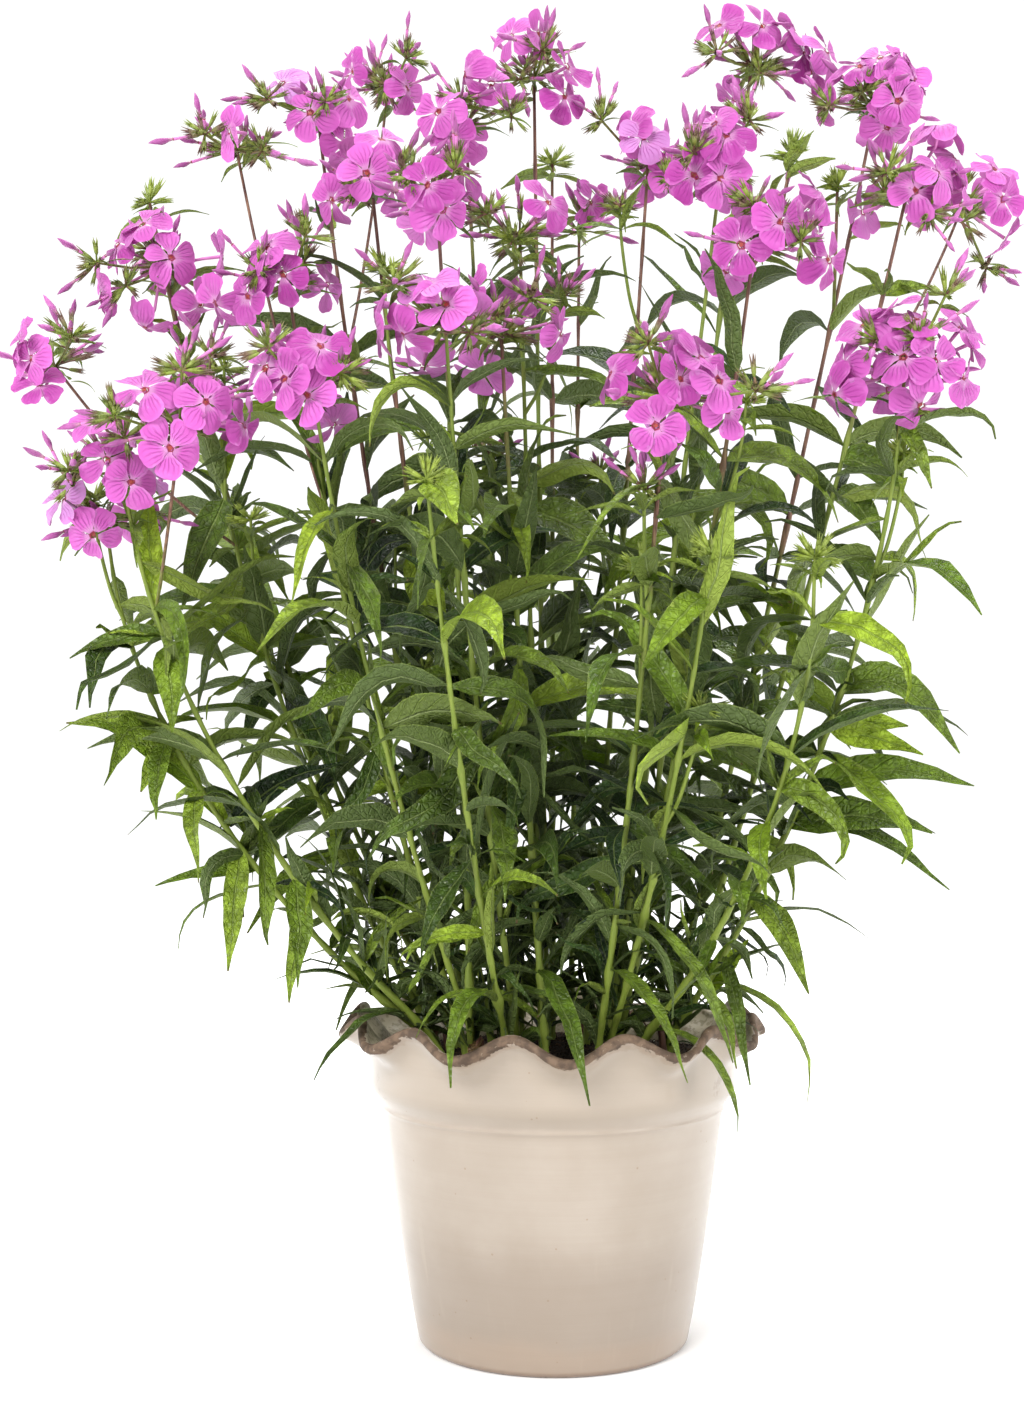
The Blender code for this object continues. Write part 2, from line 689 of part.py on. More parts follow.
def main():
    clear_scene()
    plant = make_collection("potted_phlox")
    guides = make_collection("cutters")
    glaze = make_material("cream_glaze", (0.68, 0.58, 0.48), 0.22)
    earth = make_material("potting_mix", (0.035, 0.022, 0.015), 0.95)
    green = make_material("leaf_green", (0.075, 0.19, 0.045), 0.5)
    pink = make_material("petal_pink", (0.68, 0.15, 0.60), 0.6)

    pot = build_pot(plant, guides, glaze)
    roots = choose_roots()
    build_soil(roots.values(), plant, guides, earth)
    paths = grow_shoots(roots)

    crowd = Crowd()
    add_object_shape(crowd, "pot", pot.data, CLEAR)
    branch_paths = {}
    for key, (parent, fork, place) in BRANCHES.items():
        branch_paths[key] = branch_path(paths[parent], fork, Vector(place) * MM)

    # shoots and branches stop just short of their flower heads
    stop = HUB_DEPTH / 2 + GAP
    ways = {}
    stalks = {}
    for key, path in paths.items():
        if SHOOTS[key][5] == "flowers":
            ways[key] = shorten(path, stop)
        stalks[key] = tube(path, STEM_RADIUS, TIP_RADIUS, "stem_" + key, guides)
        add_object_shape(crowd, "stem" + key, stalks[key], CLEAR)
    twigs = {}
    for key, path in branch_paths.items():
        owner = BRANCHES[key][0]
        ways[key] = shorten(path, stop)
        twigs[key] = tube(path, TIP_RADIUS, TIP_RADIUS * 0.9, "twig_" + key, guides)
        add_object_shape(crowd, "stem" + owner, twigs[key], CLEAR)

    buds = {}
    heads = {}
    for key, (x, y, z, _bow, _pairs, kind) in SHOOTS.items():
        if kind == "flowers":
            heads[key] = Vector((x, y, z)) * MM
        else:
            bm = bmesh.new()
            add_buds(bm, paths[key][-1], key)
            buds[key] = mesh_from("buds_" + key, bm)
            add_object_shape(crowd, "stem" + key, buds[key], CLEAR)
    for key, (_parent, _fork, place) in BRANCHES.items():
        heads[key] = Vector(place) * MM
    for key, hub in heads.items():
        directions = place_head(crowd, key, hub, FLOWERS_PER_HEAD)
        bm = bmesh.new()
        for direction in directions:
            add_flower(bm, hub, direction)
        flowers = object_from("flowers_" + key, mesh_from("flowers_" + key, bm), guides, guide=True)
        core = bmesh.new()
        add_hub(core, hub, ways[key])
        head = object_from("flower_head_" + key, mesh_from("flower_head_" + key, core), plant, pink)
        add_object_shape(crowd, "head" + key, head.data, CLEAR)
        union(head, flowers)

    for key, path in paths.items():
        stem = object_from("stem_" + key, stalks[key], plant, green)
        bm = bmesh.new()
        for leaf in leaves_of(crowd, key, path, SHOOTS[key][4]):
            add_leaf(bm, leaf)
        foliage = object_from("leaves_" + key, mesh_from("leaves_" + key, bm), guides, guide=True)
        union(stem, foliage)
        if key in buds:
            union(stem, object_from("buds_" + key, buds[key], guides, guide=True))
        for twig, (parent, _fork, _place) in BRANCHES.items():
            if parent == key:
                side = object_from("twig_" + twig, twigs[twig], guides, guide=True)
                union(stem, side)


main()
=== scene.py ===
import json
import random
from math import cos, hypot, pi, radians, sin, sqrt

import bmesh
import bpy
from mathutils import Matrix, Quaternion, Vector, noise

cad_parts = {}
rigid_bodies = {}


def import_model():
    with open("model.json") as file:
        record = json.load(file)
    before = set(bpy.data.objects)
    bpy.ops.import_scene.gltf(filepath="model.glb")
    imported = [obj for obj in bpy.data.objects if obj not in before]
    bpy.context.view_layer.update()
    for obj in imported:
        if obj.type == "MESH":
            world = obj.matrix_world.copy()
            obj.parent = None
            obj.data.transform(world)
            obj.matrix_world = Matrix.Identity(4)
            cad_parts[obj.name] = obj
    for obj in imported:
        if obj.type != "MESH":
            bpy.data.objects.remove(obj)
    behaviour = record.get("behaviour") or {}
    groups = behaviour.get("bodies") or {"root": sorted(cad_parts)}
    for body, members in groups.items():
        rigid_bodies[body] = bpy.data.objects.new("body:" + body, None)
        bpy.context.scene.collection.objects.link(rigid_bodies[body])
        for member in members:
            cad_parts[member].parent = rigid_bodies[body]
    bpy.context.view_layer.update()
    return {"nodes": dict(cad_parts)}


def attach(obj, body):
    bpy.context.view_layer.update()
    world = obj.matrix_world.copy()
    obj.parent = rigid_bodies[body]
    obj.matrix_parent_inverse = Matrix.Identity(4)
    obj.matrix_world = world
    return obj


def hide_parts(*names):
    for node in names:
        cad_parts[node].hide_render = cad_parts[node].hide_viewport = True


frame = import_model()
mm = 0.001
up = Vector((0, 0, 1))
fullTurn = 2 * pi
golden = radians(137.5)
print("frame loaded,", len(frame["nodes"]), "nodes")


# Node trees written as arithmetic

def present(values):  # only the inputs that are given
    return {key: value for key, value in values.items() if value is not None}


class Wire:  # an output socket that can be added, scaled and compared
    def __init__(self, graph, socket):
        self.graph, self.socket = graph, socket

    def maths(self, operation, first, second=None):
        return self.graph.add("ShaderNodeMath", {"operation": operation},
                              present({0: first, 1: second}))

    def __rsub__(self, other):
        return self.maths("SUBTRACT", other, self)

    def size(self):
        return self.maths("ABSOLUTE", self)

    def sine(self):
        return self.maths("SINE", self)

    def ease(self, low, high):  # 0 at low, 1 at high, soft at both ends
        return self.graph.add("ShaderNodeMapRange", {"interpolation_type": "SMOOTHSTEP"},
                              {"Value": self, "From Min": low, "From Max": high})

    def out(self, name):
        return Wire(self.graph, self.socket.node.outputs[name])


def joined(operation):
    return lambda self, other: self.maths(operation, self, other)


for method, operation in {
        "__add__": "ADD", "__radd__": "ADD", "__sub__": "SUBTRACT", "__mul__": "MULTIPLY",
        "__rmul__": "MULTIPLY", "__truediv__": "DIVIDE", "__gt__": "GREATER_THAN",
        "__lt__": "LESS_THAN", "highest": "MAXIMUM"}.items():
    setattr(Wire, method, joined(operation))


class Graph:
    def __init__(self, tree):
        self.tree = tree

    def plug(self, socket, value):
        if isinstance(value, Wire):
            self.tree.links.new(value.socket, socket)
        elif isinstance(value, tuple) and len(value) == 3 and socket.type == "RGBA":
            socket.default_value = (*value, 1.0)
        else:
            socket.default_value = value

    def add(self, kind, settings=None, inputs=None, out=0):
        made = self.tree.nodes.new(kind)
        for key, value in (settings or {}).items():
            setattr(made, key, value)
        for key, value in (inputs or {}).items():
            self.plug(made.inputs[key], value)
        return Wire(self, made.outputs[out])

    def mix(self, factor, first, second):
        return self.add("ShaderNodeMix", {"data_type": "RGBA"}, {0: factor, 6: first, 7: second},
                        out=2)

    def vectors(self, operation, first, second=None, scale=None):
        return self.add("ShaderNodeVectorMath", {"operation": operation},
                        present({0: first, 1: second, "Scale": scale}))

    def length(self, vector):
        return self.vectors("LENGTH", vector).out("Value")

    def noise(self, where, scale, detail=2.0, rough=0.5):
        return self.add("ShaderNodeTexNoise", {}, {
            "Vector": where, "Scale": scale, "Detail": detail, "Roughness": rough})

    def split(self, vector):
        x = self.add("ShaderNodeSeparateXYZ", {}, {0: vector}, out="X")
        return x, x.out("Y"), x.out("Z")


class Finish(Graph):  # a material with one Principled shader
    def __init__(self, name, plain):
        self.material = bpy.data.materials.new(name)
        self.material.use_nodes = True
        super().__init__(self.material.node_tree)
        self.shader = self.tree.nodes["Principled BSDF"]
        for key, value in plain.items():
            self.plug(self.shader.inputs[key], value)
        self.place = self.add("ShaderNodeTexCoord", out="Object")

    def read(self, *names):
        return [self.add("ShaderNodeAttribute", {"attribute_name": name}, out="Fac")
                for name in names]

    def cloud(self, scale, detail=2.0, rough=0.5):
        return self.noise(self.place, scale, detail, rough)

    def streaks(self, scale, factors, detail=2.0, rough=0.5):
        return self.noise(self.vectors("MULTIPLY", self.place, factors), scale, detail, rough)

    def cells(self, scale, feature="F1"):  # distance to the middles or the edges of small cells
        return self.add("ShaderNodeTexVoronoi", {"feature": feature},
                        {"Vector": self.place, "Scale": scale}, out="Distance")

    def layers(self, colour, *coats):  # each coat is how much, and its colour
        for share, other in coats:
            colour = self.mix(share, colour, other)
        return colour

    def scaled(self, colour, amount):
        return self.vectors("SCALE", colour, scale=amount)

    def feed(self, **wires):
        names = {"colour": "Base Color", "roughness": "Roughness", "coat": "Coat Weight",
                 "light": "Emission Color", "relief": "Normal"}
        for key, wire in wires.items():
            self.plug(self.shader.inputs[names[key]], wire)
        return self.material

    def bump(self, height, strength, distance):
        return self.add("ShaderNodeBump", {}, {
            "Height": height, "Strength": strength, "Distance": distance})

    def glow(self, colour, share):  # light that comes through a thin blade
        through = self.add("ShaderNodeBsdfTranslucent", {}, {"Color": colour})
        both = self.add("ShaderNodeMixShader", {},
                        {0: share, 1: Wire(self, self.shader.outputs[0]), 2: through})
        out = next(node for node in self.tree.nodes if node.type == "OUTPUT_MATERIAL")
        self.plug(out.inputs["Surface"], both)


socketKinds = {bpy.types.Object: "Object", bpy.types.Material: "Material", int: "Int",
               float: "Float"}


class Tree(Graph):  # a geometry node tree with a named input for each of the given values
    def __init__(self, name, values):
        super().__init__(bpy.data.node_groups.new(name, "GeometryNodeTree"))
        self.values, self.ids = values, {}
        self.socket("Geometry", "Geometry", "INPUT")
        for label, value in values.items():
            self.ids[label] = self.socket(label, socketKinds[type(value)], "INPUT").identifier
        self.socket("Geometry", "Geometry", "OUTPUT")
        self.start = self.add("NodeGroupInput")

    def socket(self, label, kind, side):
        return self.tree.interface.new_socket(name=label, in_out=side,
                                              socket_type="NodeSocket" + kind)

    def given(self, label):
        return self.start.out(label)

    def read(self, name, kind="FLOAT"):
        return self.add("GeometryNodeInputNamedAttribute", {"data_type": kind}, {"Name": name})

    def vector(self, x, y, z=0.0):
        return self.add("ShaderNodeCombineXYZ", {}, {"X": x, "Y": y, "Z": z})

    def shapeOf(self, label):
        return self.add("GeometryNodeObjectInfo", {}, {"Object": self.given(label)}, out="Geometry")

    def curveOf(self, shape):
        return self.add("GeometryNodeMeshToCurve", {}, {"Mesh": shape})

    def faced(self, curve, normal):
        return self.add("GeometryNodeSetCurveNormal", {"mode": "FREE"},
                        {"Curve": curve, "Normal": normal})

    def ring(self, sides, radius):
        return self.add("GeometryNodeCurvePrimitiveCircle", {"mode": "RADIUS"},
                        {"Resolution": sides, "Radius": radius})

    def sweep(self, curve, section, scale, **more):
        return self.add("GeometryNodeCurveToMesh", {}, {
            "Curve": curve, "Profile Curve": section, "Scale": scale, **more})

    def on(self, shape, kind, inputs=None, **settings):  # a node that changes a shape
        return self.add("GeometryNode" + kind, settings, {"Geometry": shape, **(inputs or {})})

    def keep(self, shape, name, value):
        return self.on(shape, "StoreNamedAttribute", {"Name": name, "Value": value},
                       data_type="FLOAT", domain="POINT")

    def join(self, *shapes):
        made = self.add("GeometryNodeJoinGeometry")
        for shape in shapes:
            self.plug(made.socket.node.inputs[0], shape)
        return made

    def whereKind(self, code):
        return self.add("FunctionNodeCompare", {"data_type": "INT", "operation": "EQUAL"},
                        {2: self.read("kind", "INT"), 3: code})

    def end(self, shape, finishes):  # each is a selection, or None for all, and an input's name
        shape = self.on(shape, "RealizeInstances")
        for selection, label in finishes:
            shape = self.on(shape, "SetMaterial",
                            present({"Material": self.given(label), "Selection": selection}))
        out = self.tree.nodes.new("NodeGroupOutput")
        self.plug(out.inputs[0], shape)

    def grow(self, name, source):  # the tree's result on a mesh, as a plain mesh object
        source = linked(source.name, source)
        modifier = source.modifiers.new("grow", "NODES")
        modifier.node_group = self.tree
        for label, value in self.values.items():
            modifier[self.ids[label]] = value
        bpy.context.view_layer.update()
        depsgraph = bpy.context.evaluated_depsgraph_get()
        mesh = bpy.data.meshes.new_from_object(source.evaluated_get(depsgraph))
        mesh.name = name
        source.modifiers.remove(modifier)
        bpy.data.objects.remove(source, do_unlink=True)
        return linked(name, mesh)


def linked(name, data):
    made = bpy.data.objects.new(name, data)
    bpy.context.scene.collection.objects.link(made)
    return made


def meshFrom(name, bm):
    mesh = bpy.data.meshes.new(name)
    bm.to_mesh(mesh)
    bm.free()
    return mesh


def lineMesh(name, points, edges, values):  # points and edges with named values at the points
    mesh = bpy.data.meshes.new(name)
    mesh.from_pydata([tuple(point) for point in points], edges, [])
    for key, (kind, items) in values.items():
        attribute = mesh.attributes.new(key, kind, "POINT")
        for slot, item in zip(attribute.data, items):
            if kind == "FLOAT_VECTOR":
                slot.vector = item
            else:
                slot.value = item
    return mesh


def smoothThrough(points, steps):  # a soft curve through every point
    ends = [points[0] * 2 - points[1], *points, points[-1] * 2 - points[-2]]
    found = []
    for index in range(1, len(ends) - 2):
        a, b, c, d = ends[index - 1:index + 3]
        for step in range(steps):
            t = step / steps
            found.append(0.5 * ((2 * b) + (c - a) * t + (2 * a - 5 * b + 4 * c - d) * t ** 2
                                + (3 * b - a - 3 * c + d) * t ** 3))
    found.append(points[-1].copy())
    return found


def flat(angle):  # a level direction
    return Vector((cos(angle), sin(angle), 0.0))


def circle(radius, sides, height):
    angles = [fullTurn * step / sides for step in range(sides)]
    return [(radius * cos(angle), radius * sin(angle), height) for angle in angles]


def arc(middle, height, radii, start, turn, steps):  # radius and height along part of an ellipse
    angles = [radians(start + turn * step / steps) for step in range(1, steps + 1)]
    return [(middle + radii[0] * cos(angle), height + radii[1] * sin(angle)) for angle in angles]


def bowed(start, middle, end, shares):  # points on a curve drawn towards its middle
    return [start * (1 - s) ** 2 + middle * 2 * s * (1 - s) + end * s ** 2 for s in shares]


def tangentAt(points, index):
    return (points[min(index + 1, len(points) - 1)] - points[max(index - 1, 0)]).normalized()


def clamped(value, least=0.0):
    return min(1.0, max(least, value))


def tapered(count, start, end):
    return [start + (end - start) * index / (count - 1) for index in range(count)]


# Glazed pot with a wavy lip

pot = {
    "wallLow": 0.0605, "wallHigh": 0.0757, "belly": 0.0010, "bellyLow": 0.6, "footCorner": 0.004,
    "ledge": 0.1025, "ringRadius": 0.0768, "collarRadius": 0.0822, "collarTop": 0.128,
    "rimRadius": 0.0935, "rimHeight": 0.1413, "wall": 0.006, "lip": 0.0023, "floor": 0.009,
    "lobes": 12, "lobePhase": 18.0, "lobeHeight": 0.0045, "lobeFlare": 0.0026, "fade": 0.004,
    "around": 216, "wobble": 0.0005, "dipLine": 0.050,
    # two dark patches on the collar's sides are a painted reflection
    "darkReflectionSpots": ((-0.076, -0.031, 0.117), (0.073, -0.038, 0.117)),
    # the profile: pairs say how far out from the inside, the collar or the ring, and how high
    "innerHeights": (0.013, 0.05, 0.09), "innerTop": 0.108, "floorRound": 0.003,
    "flare": ((0, 0.116), (0.0003, 0.1255), (0.0035, 0.1325)), "underLip": (0.0035, 0.1372),
    "collarSide": ((0.0061, 0.1368), (0.0026, 0.1328), (0.0006, 0.1278), (0.0, 0.1225),
                   (0.0, 0.1180), (-0.0005, 0.1153), (-0.0016, 0.1128), (-0.0033, 0.1103),
                   (-0.0047, 0.1082)),
    "ringSide": ((0.0002, 0.1068), (0.0003, 0.1056), (-0.0006, 0.1040)),
    "wallHeights": (0.1015, 0.097, 0.09, 0.08, 0.066, 0.052, 0.038, 0.025, 0.014, 0.008),
    "footIn": 0.0032, "footRound": (0.0033, 0.0034), "underside": (0.045, 0.02, 0),
}
glaze = {
    "cream": ((0.345, 0.286, 0.229), (0.392, 0.333, 0.277)), "ring": (0.318, 0.255, 0.196),
    "dipped": (0.262, 0.205, 0.158), "trickle": (0.42, 0.35, 0.27), "low": (0.375, 0.275, 0.20),
    # among these, the dark colour on the collar's sides is a painted reflection
    "foot": (0.20, 0.13, 0.085), "collar": (0.325, 0.268, 0.208), "darkReflection": (0.17, 0.115, 0.07),
    "speck": (0.22, 0.13, 0.07), "worn": (0.25, 0.175, 0.115), "inside": (0.52, 0.45, 0.33),
    "fleck": (0.16, 0.125, 0.055), "insideWear": (0.15, 0.09, 0.05),
    "clay": ((0.070, 0.043, 0.026), (0.165, 0.107, 0.068)), "clayGrain": (0.40, 0.32, 0.23),
}


def wallRadius(height):
    share = (height - pot["footCorner"]) / (pot["ledge"] - pot["footCorner"])
    swell = pot["belly"] * sin(pi * max(0.0, share) ** pot["bellyLow"])
    return pot["wallLow"] + (pot["wallHigh"] - pot["wallLow"]) * share + swell


def softened(points, steps):
    return smoothThrough([Vector(point) for point in points], steps)


def potSection():  # radius, height and place across the crown, from the inner floor to the base
    wall, lip, collar, ring = pot["wall"], pot["lip"], pot["collarRadius"], pot["ringRadius"]
    middle, inside = pot["rimRadius"] - lip, collar - wall
    rim, ground = pot["rimHeight"], pot["floor"]
    low = [(wallRadius(height) - wall, height) for height in pot["innerHeights"]]
    low = [(0, ground), (0.03, ground), (low[0][0] - pot["floorRound"], ground), *low,
           (inside, pot["innerTop"])]
    under, tall = pot["underLip"]
    flare = [(inside + more, height) for more, height in pot["flare"]]
    flare = softened([*flare, (middle - lip - under, tall), (middle - lip, rim)], 6)
    crown = arc(middle, rim, (lip, lip), 180, -215, 14)
    outer = [crown[-1]]
    outer += [(collar + more, height) for more, height in pot["collarSide"]]
    outer += [(ring + more, height) for more, height in pot["ringSide"]]
    outer += [(wallRadius(height), height) for height in pot["wallHeights"]]
    outer = softened(outer, 5)
    wide, tall = pot["footRound"]
    corner = arc(pot["wallLow"] - pot["footIn"], tall, (wide, tall), 0, -90, 6)
    base = [(radius, 0.0) for radius in pot["underside"]]
    points, across = [], []
    for part, start, end in (
            (low, 0.0, 0.0), (flare[:-1], 0.0, 0.0), ([flare[-1], *crown], 0.3, 1.5),
            (outer[1:7], 1.58, 2.0), (outer[7:], 2.0, 2.0), (corner, 2.0, 2.0), (base, 2.0, 2.0)):
        points += [tuple(point) for point in part]
        across += tapered(len(part), start, end)
    return points, across


def glazeFinish():
    f = Finish("warmCreamGlaze", {"Roughness": 0.28, "Coat Weight": 0.35, "Coat Roughness": 0.09,
                                  "Specular IOR Level": 0.5})
    height = f.split(f.place)[2]
    # the third noise gives the lip its wear and also shapes the painted reflection patches on the
    # collar
    cloud, ragged, wearAndReflectionNoise = f.cloud(22, 4, 0.55), f.cloud(38, 4, 0.6), f.cloud(80, 5, 0.7)
    rings = f.streaks(3.2, (2.0, 2.0, 95.0), 3, 0.6)
    dip = height + ragged * 0.012 + cloud * 0.010
    trickle = f.streaks(1.0, (150.0, 150.0, 6.0)).ease(0.6, 0.75) * height.ease(0.075, 0.04)
    body = f.layers(
        f.mix(cloud.ease(0.3, 0.72), *glaze["cream"]),
        (rings.ease(0.35, 0.75) * 0.2, glaze["ring"]),
        (dip.ease(pot["dipLine"] + 0.026, pot["dipLine"] + 0.001) * 0.55, glaze["dipped"]),
        (trickle * 0.25, glaze["trickle"]), (dip.ease(0.030, 0.020) * 0.4, glaze["low"]),
        (height.ease(0.0035, 0.001) * 0.8, glaze["foot"]),
        (height.ease(0.108, 0.114) * 0.55, glaze["collar"]))
    # a dark ragged patch on the collar beside each side edge: painted reflection, the dark band
    # next to the glossy edge highlight
    for spot in pot["darkReflectionSpots"]:
        gap = f.length(f.vectors("SUBTRACT", f.place, spot)) + (ragged - 0.5) * 0.022
        darkReflection = gap.ease(0.0115, 0.0060) * wearAndReflectionNoise.ease(0.50, 0.60) * 0.45
        body = f.mix(darkReflection, body, glaze["darkReflection"])
    specks = f.cells(210.0).ease(0.12, 0.07) * (f.cloud(60, 1) > 0.58)
    # glaze worn through to brown clay along the crown of the lip
    lip, = f.read("lip")
    drift = f.cloud(17, 3, 0.6)  # carries the worn band up and down round the lip
    band = (lip - 1.14 + (drift - 0.5) * 1.2).size() + (wearAndReflectionNoise - 0.5) * 1.3 + (cloud - 0.5) * 0.5
    crown = lip.ease(1.97, 1.85) * lip.ease(0.2, 0.35)
    left = f.cloud(240, 4, 0.7).ease(0.30, 0.36) * 0.8 + 0.2  # specks of glaze left on the clay
    bare = band.ease(0.48, 0.40) * crown * left
    clay = f.layers(f.mix(f.cloud(260, 3).ease(0.35, 0.7), *glaze["clay"]),
                    (f.cloud(640).ease(0.66, 0.72) * 0.35, glaze["clayGrain"]))
    inner = lip.ease(0.9, 0.4) * height.ease(0.118, 0.126)
    body = f.layers(
        body, (specks * 0.5, glaze["speck"]), (band.ease(0.74, 0.54) * crown * 0.4, glaze["worn"]),
        (inner, glaze["inside"]), (inner * f.cloud(420, 3).ease(0.50, 0.60) * 0.5, glaze["fleck"]),
        (inner * wearAndReflectionNoise.ease(0.54, 0.62) * 0.6, glaze["insideWear"]), (bare, clay))
    relief = rings * 0.5 + cloud * 0.7 - bare * 1.0 + f.cloud(420) * bare * 0.5
    return f.feed(
        colour=body, roughness=0.26 + (bare + inner * 0.5) * 0.5 + cloud * 0.06,
        coat=(1.0 - bare.highest(inner * 0.8)) * 0.35, relief=f.bump(relief, 0.35, 0.0006))


def makePot():
    points, across = potSection()
    reach = 0.05  # radius of the ring that the section is carried round
    section = linked("potSection", lineMesh(
        "potLine", [(radius - reach, -height, 0) for radius, height in points],
        [(i, i + 1) for i in range(len(points) - 1)], {"lip": ("FLOAT", across)}))
    t = Tree("wavyPot", {
        "Section": section, "Around": pot["around"], "Reach": reach, "Lobes": float(pot["lobes"]),
        "Lobe phase": radians(pot["lobePhase"]), "Lobe height": pot["lobeHeight"],
        "Lobe flare": pot["lobeFlare"], "Wave start": pot["collarTop"] - pot["fade"],
        "Wave end": pot["rimHeight"], "Wobble": pot["wobble"], "Glaze": glazeFinish()})
    where = t.add("GeometryNodeInputPosition")
    ring = t.faced(t.ring(t.given("Around"), t.given("Reach")), where)
    wall = t.sweep(ring, t.curveOf(t.shapeOf("Section")), 1.0)
    wall = t.on(wall, "MergeByDistance", {"Distance": 0.00002})
    x, y, z = t.split(where)
    share = z.ease(t.given("Wave start"), t.given("Wave end"))
    turn = x.maths("ARCTAN2", x, 0.0 - y)
    lobe = x.maths("COSINE", (turn - t.given("Lobe phase")) * t.given("Lobes"))
    radius = t.length(t.vector(x, y))
    stray = (t.noise(where, 18) - 0.5) * t.given("Wobble") * z.ease(0.0, 0.02)
    grow = ((0.0 - share) * t.given("Lobe flare") * lobe + stray) / radius.highest(0.02)
    grow = grow * (radius > 0.04)
    offset = t.vector(x * grow, y * grow, share * t.given("Lobe height") * lobe)
    wall = t.on(t.on(wall, "SetPosition", {"Offset": offset}), "SetShadeSmooth")
    t.end(wall, [(None, "Glaze")])
    made = t.grow("glazedPot", bpy.data.meshes.new("potSeed"))
    bpy.data.objects.remove(section, do_unlink=True)
    return made


glazedPot = makePot()
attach(glazedPot, "root")
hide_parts("pot")
print("pot turned,", len(glazedPot.data.polygons), "faces")


# Potting mix with crumbs

soil = {
    "height": 0.124, "crown": 0.005, "lump": 0.0016, "lumpScale": 70.0, "radius": 0.0756,
    "around": 96, "rings": 26, "grain": ((3.0, 260, 0.0007), (7.0, 620, 0.0004)),
    "sunk": ((0.0755, 0.112), (0.067, 0.085), (0.056, 0.012)), "crumbs": 150000.0,
    "crumbSize": 0.0011, "crumbLeast": (0.3, 0.25, 0.2), "crumbMost": (1.1, 0.75, 0.6), "seed": 11,
    "socket": 0.014, "collar": 0.008,
}
earth = {"dark": ((0.009, 0.0055, 0.0035), (0.050, 0.030, 0.018)), "patch": (0.085, 0.050, 0.028),
         "bark": (0.10, 0.058, 0.030), "perlite": (0.62, 0.59, 0.52)}


def soilHeight(x, y):
    radius = hypot(x, y) / pot["collarRadius"]
    lump = noise.noise(Vector((x, y, 0.0)) * soil["lumpScale"])
    return soil["height"] + soil["crown"] * (1 - radius * radius) + soil["lump"] * lump


def earthFinish():
    f = Finish("darkPottingMix", {"Roughness": 0.92, "Specular IOR Level": 0.25})
    tone, = f.read("tone")
    grain, patch = f.cloud(900, 4, 0.65), f.cloud(130, 3)
    colour = f.layers(f.mix(grain.ease(0.35, 0.7), *earth["dark"]),
                      (patch.ease(0.55, 0.8) * 0.5, earth["patch"]),
                      (tone.ease(0.55, 0.9) * 0.75, earth["bark"]),
                      (tone > 0.985, earth["perlite"]))
    return f.feed(colour=colour, roughness=0.85 + grain * 0.14,
                  relief=f.bump(grain + patch, 0.9, 0.0009))


def soilBody():
    bm = bmesh.new()
    around, rings = soil["around"], soil["rings"]
    rows = []
    for ring in range(1, rings + 1):
        row = circle(soil["radius"] * (ring / rings) ** 0.85, around, 0.0)
        rows.append([(x, y, soilHeight(x, y) + sum(
            noise.noise(Vector((x, y, layer)) * scale) * depth
            for layer, scale, depth in soil["grain"])) for x, y, z in row])
    rows += [circle(radius, around, height) for radius, height in soil["sunk"]]
    rows = [[bm.verts.new(point) for point in row] for row in rows]
    middle = bm.verts.new((0, 0, soilHeight(0, 0)))
    under = bm.verts.new((0, 0, soil["sunk"][-1][1]))
    for inner, outer in zip(rows, rows[1:]):
        for step in range(around):
            after = (step + 1) % around
            bm.faces.new((inner[step], outer[step], outer[after], inner[after]))
    for step in range(around):
        after = (step + 1) % around
        bm.faces.new((middle, rows[0][step], rows[0][after]))
        bm.faces.new((under, rows[-1][after], rows[-1][step]))
    bmesh.ops.recalc_face_normals(bm, faces=bm.faces)
    return meshFrom("soilBody", bm)


def makeSoil():
    t = Tree("soilCrumbs", {"Density": soil["crumbs"], "Crumb": soil["crumbSize"],
                            "Seed": soil["seed"], "Earth": earthFinish()})

    def chance(kind, out, low, high, seed):
        first = 0 if kind == "FLOAT_VECTOR" else 2  # each kind has its own two limits
        return t.add("FunctionNodeRandomValue", {"data_type": kind},
                     {first: low, first + 1: high, "Seed": seed}, out=out)

    top = t.split(t.add("GeometryNodeInputNormal"))[2] > 0.4
    spots = t.add("GeometryNodeDistributePointsOnFaces", {"distribute_method": "RANDOM"},
                  {"Mesh": t.given("Geometry"), "Selection": top, "Density": t.given("Density"),
                   "Seed": t.given("Seed")}, out="Points")
    spots = t.keep(spots, "tone", chance("FLOAT", 1, 0.0, 1.0, t.given("Seed")))
    spin = chance("FLOAT_VECTOR", 0, (0.0, 0.0, 0.0), (6.28, 6.28, 6.28), t.given("Seed"))
    shape = chance("FLOAT_VECTOR", 0, soil["crumbLeast"], soil["crumbMost"], 5)
    crumbs = t.add("GeometryNodeInstanceOnPoints", {}, {
        "Points": spots,
        "Instance": t.add("GeometryNodeMeshIcoSphere", {}, {"Radius": 1.0, "Subdivisions": 1}),
        "Rotation": t.add("FunctionNodeEulerToRotation", {}, {0: spin}),
        "Scale": t.vectors("SCALE", shape, scale=t.given("Crumb"))})
    t.end(t.join(t.keep(t.given("Geometry"), "tone", 0.2), crumbs), [(None, "Earth")])
    return t.grow("pottingMix", soilBody())


pottingMix = makeSoil()
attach(pottingMix, "root")
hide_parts("soil")
print("soil filled,", len(pottingMix.data.polygons), "faces")


# How the shoots stand: head centre x, y, z (mm), lean, leaf pairs, and what it carries

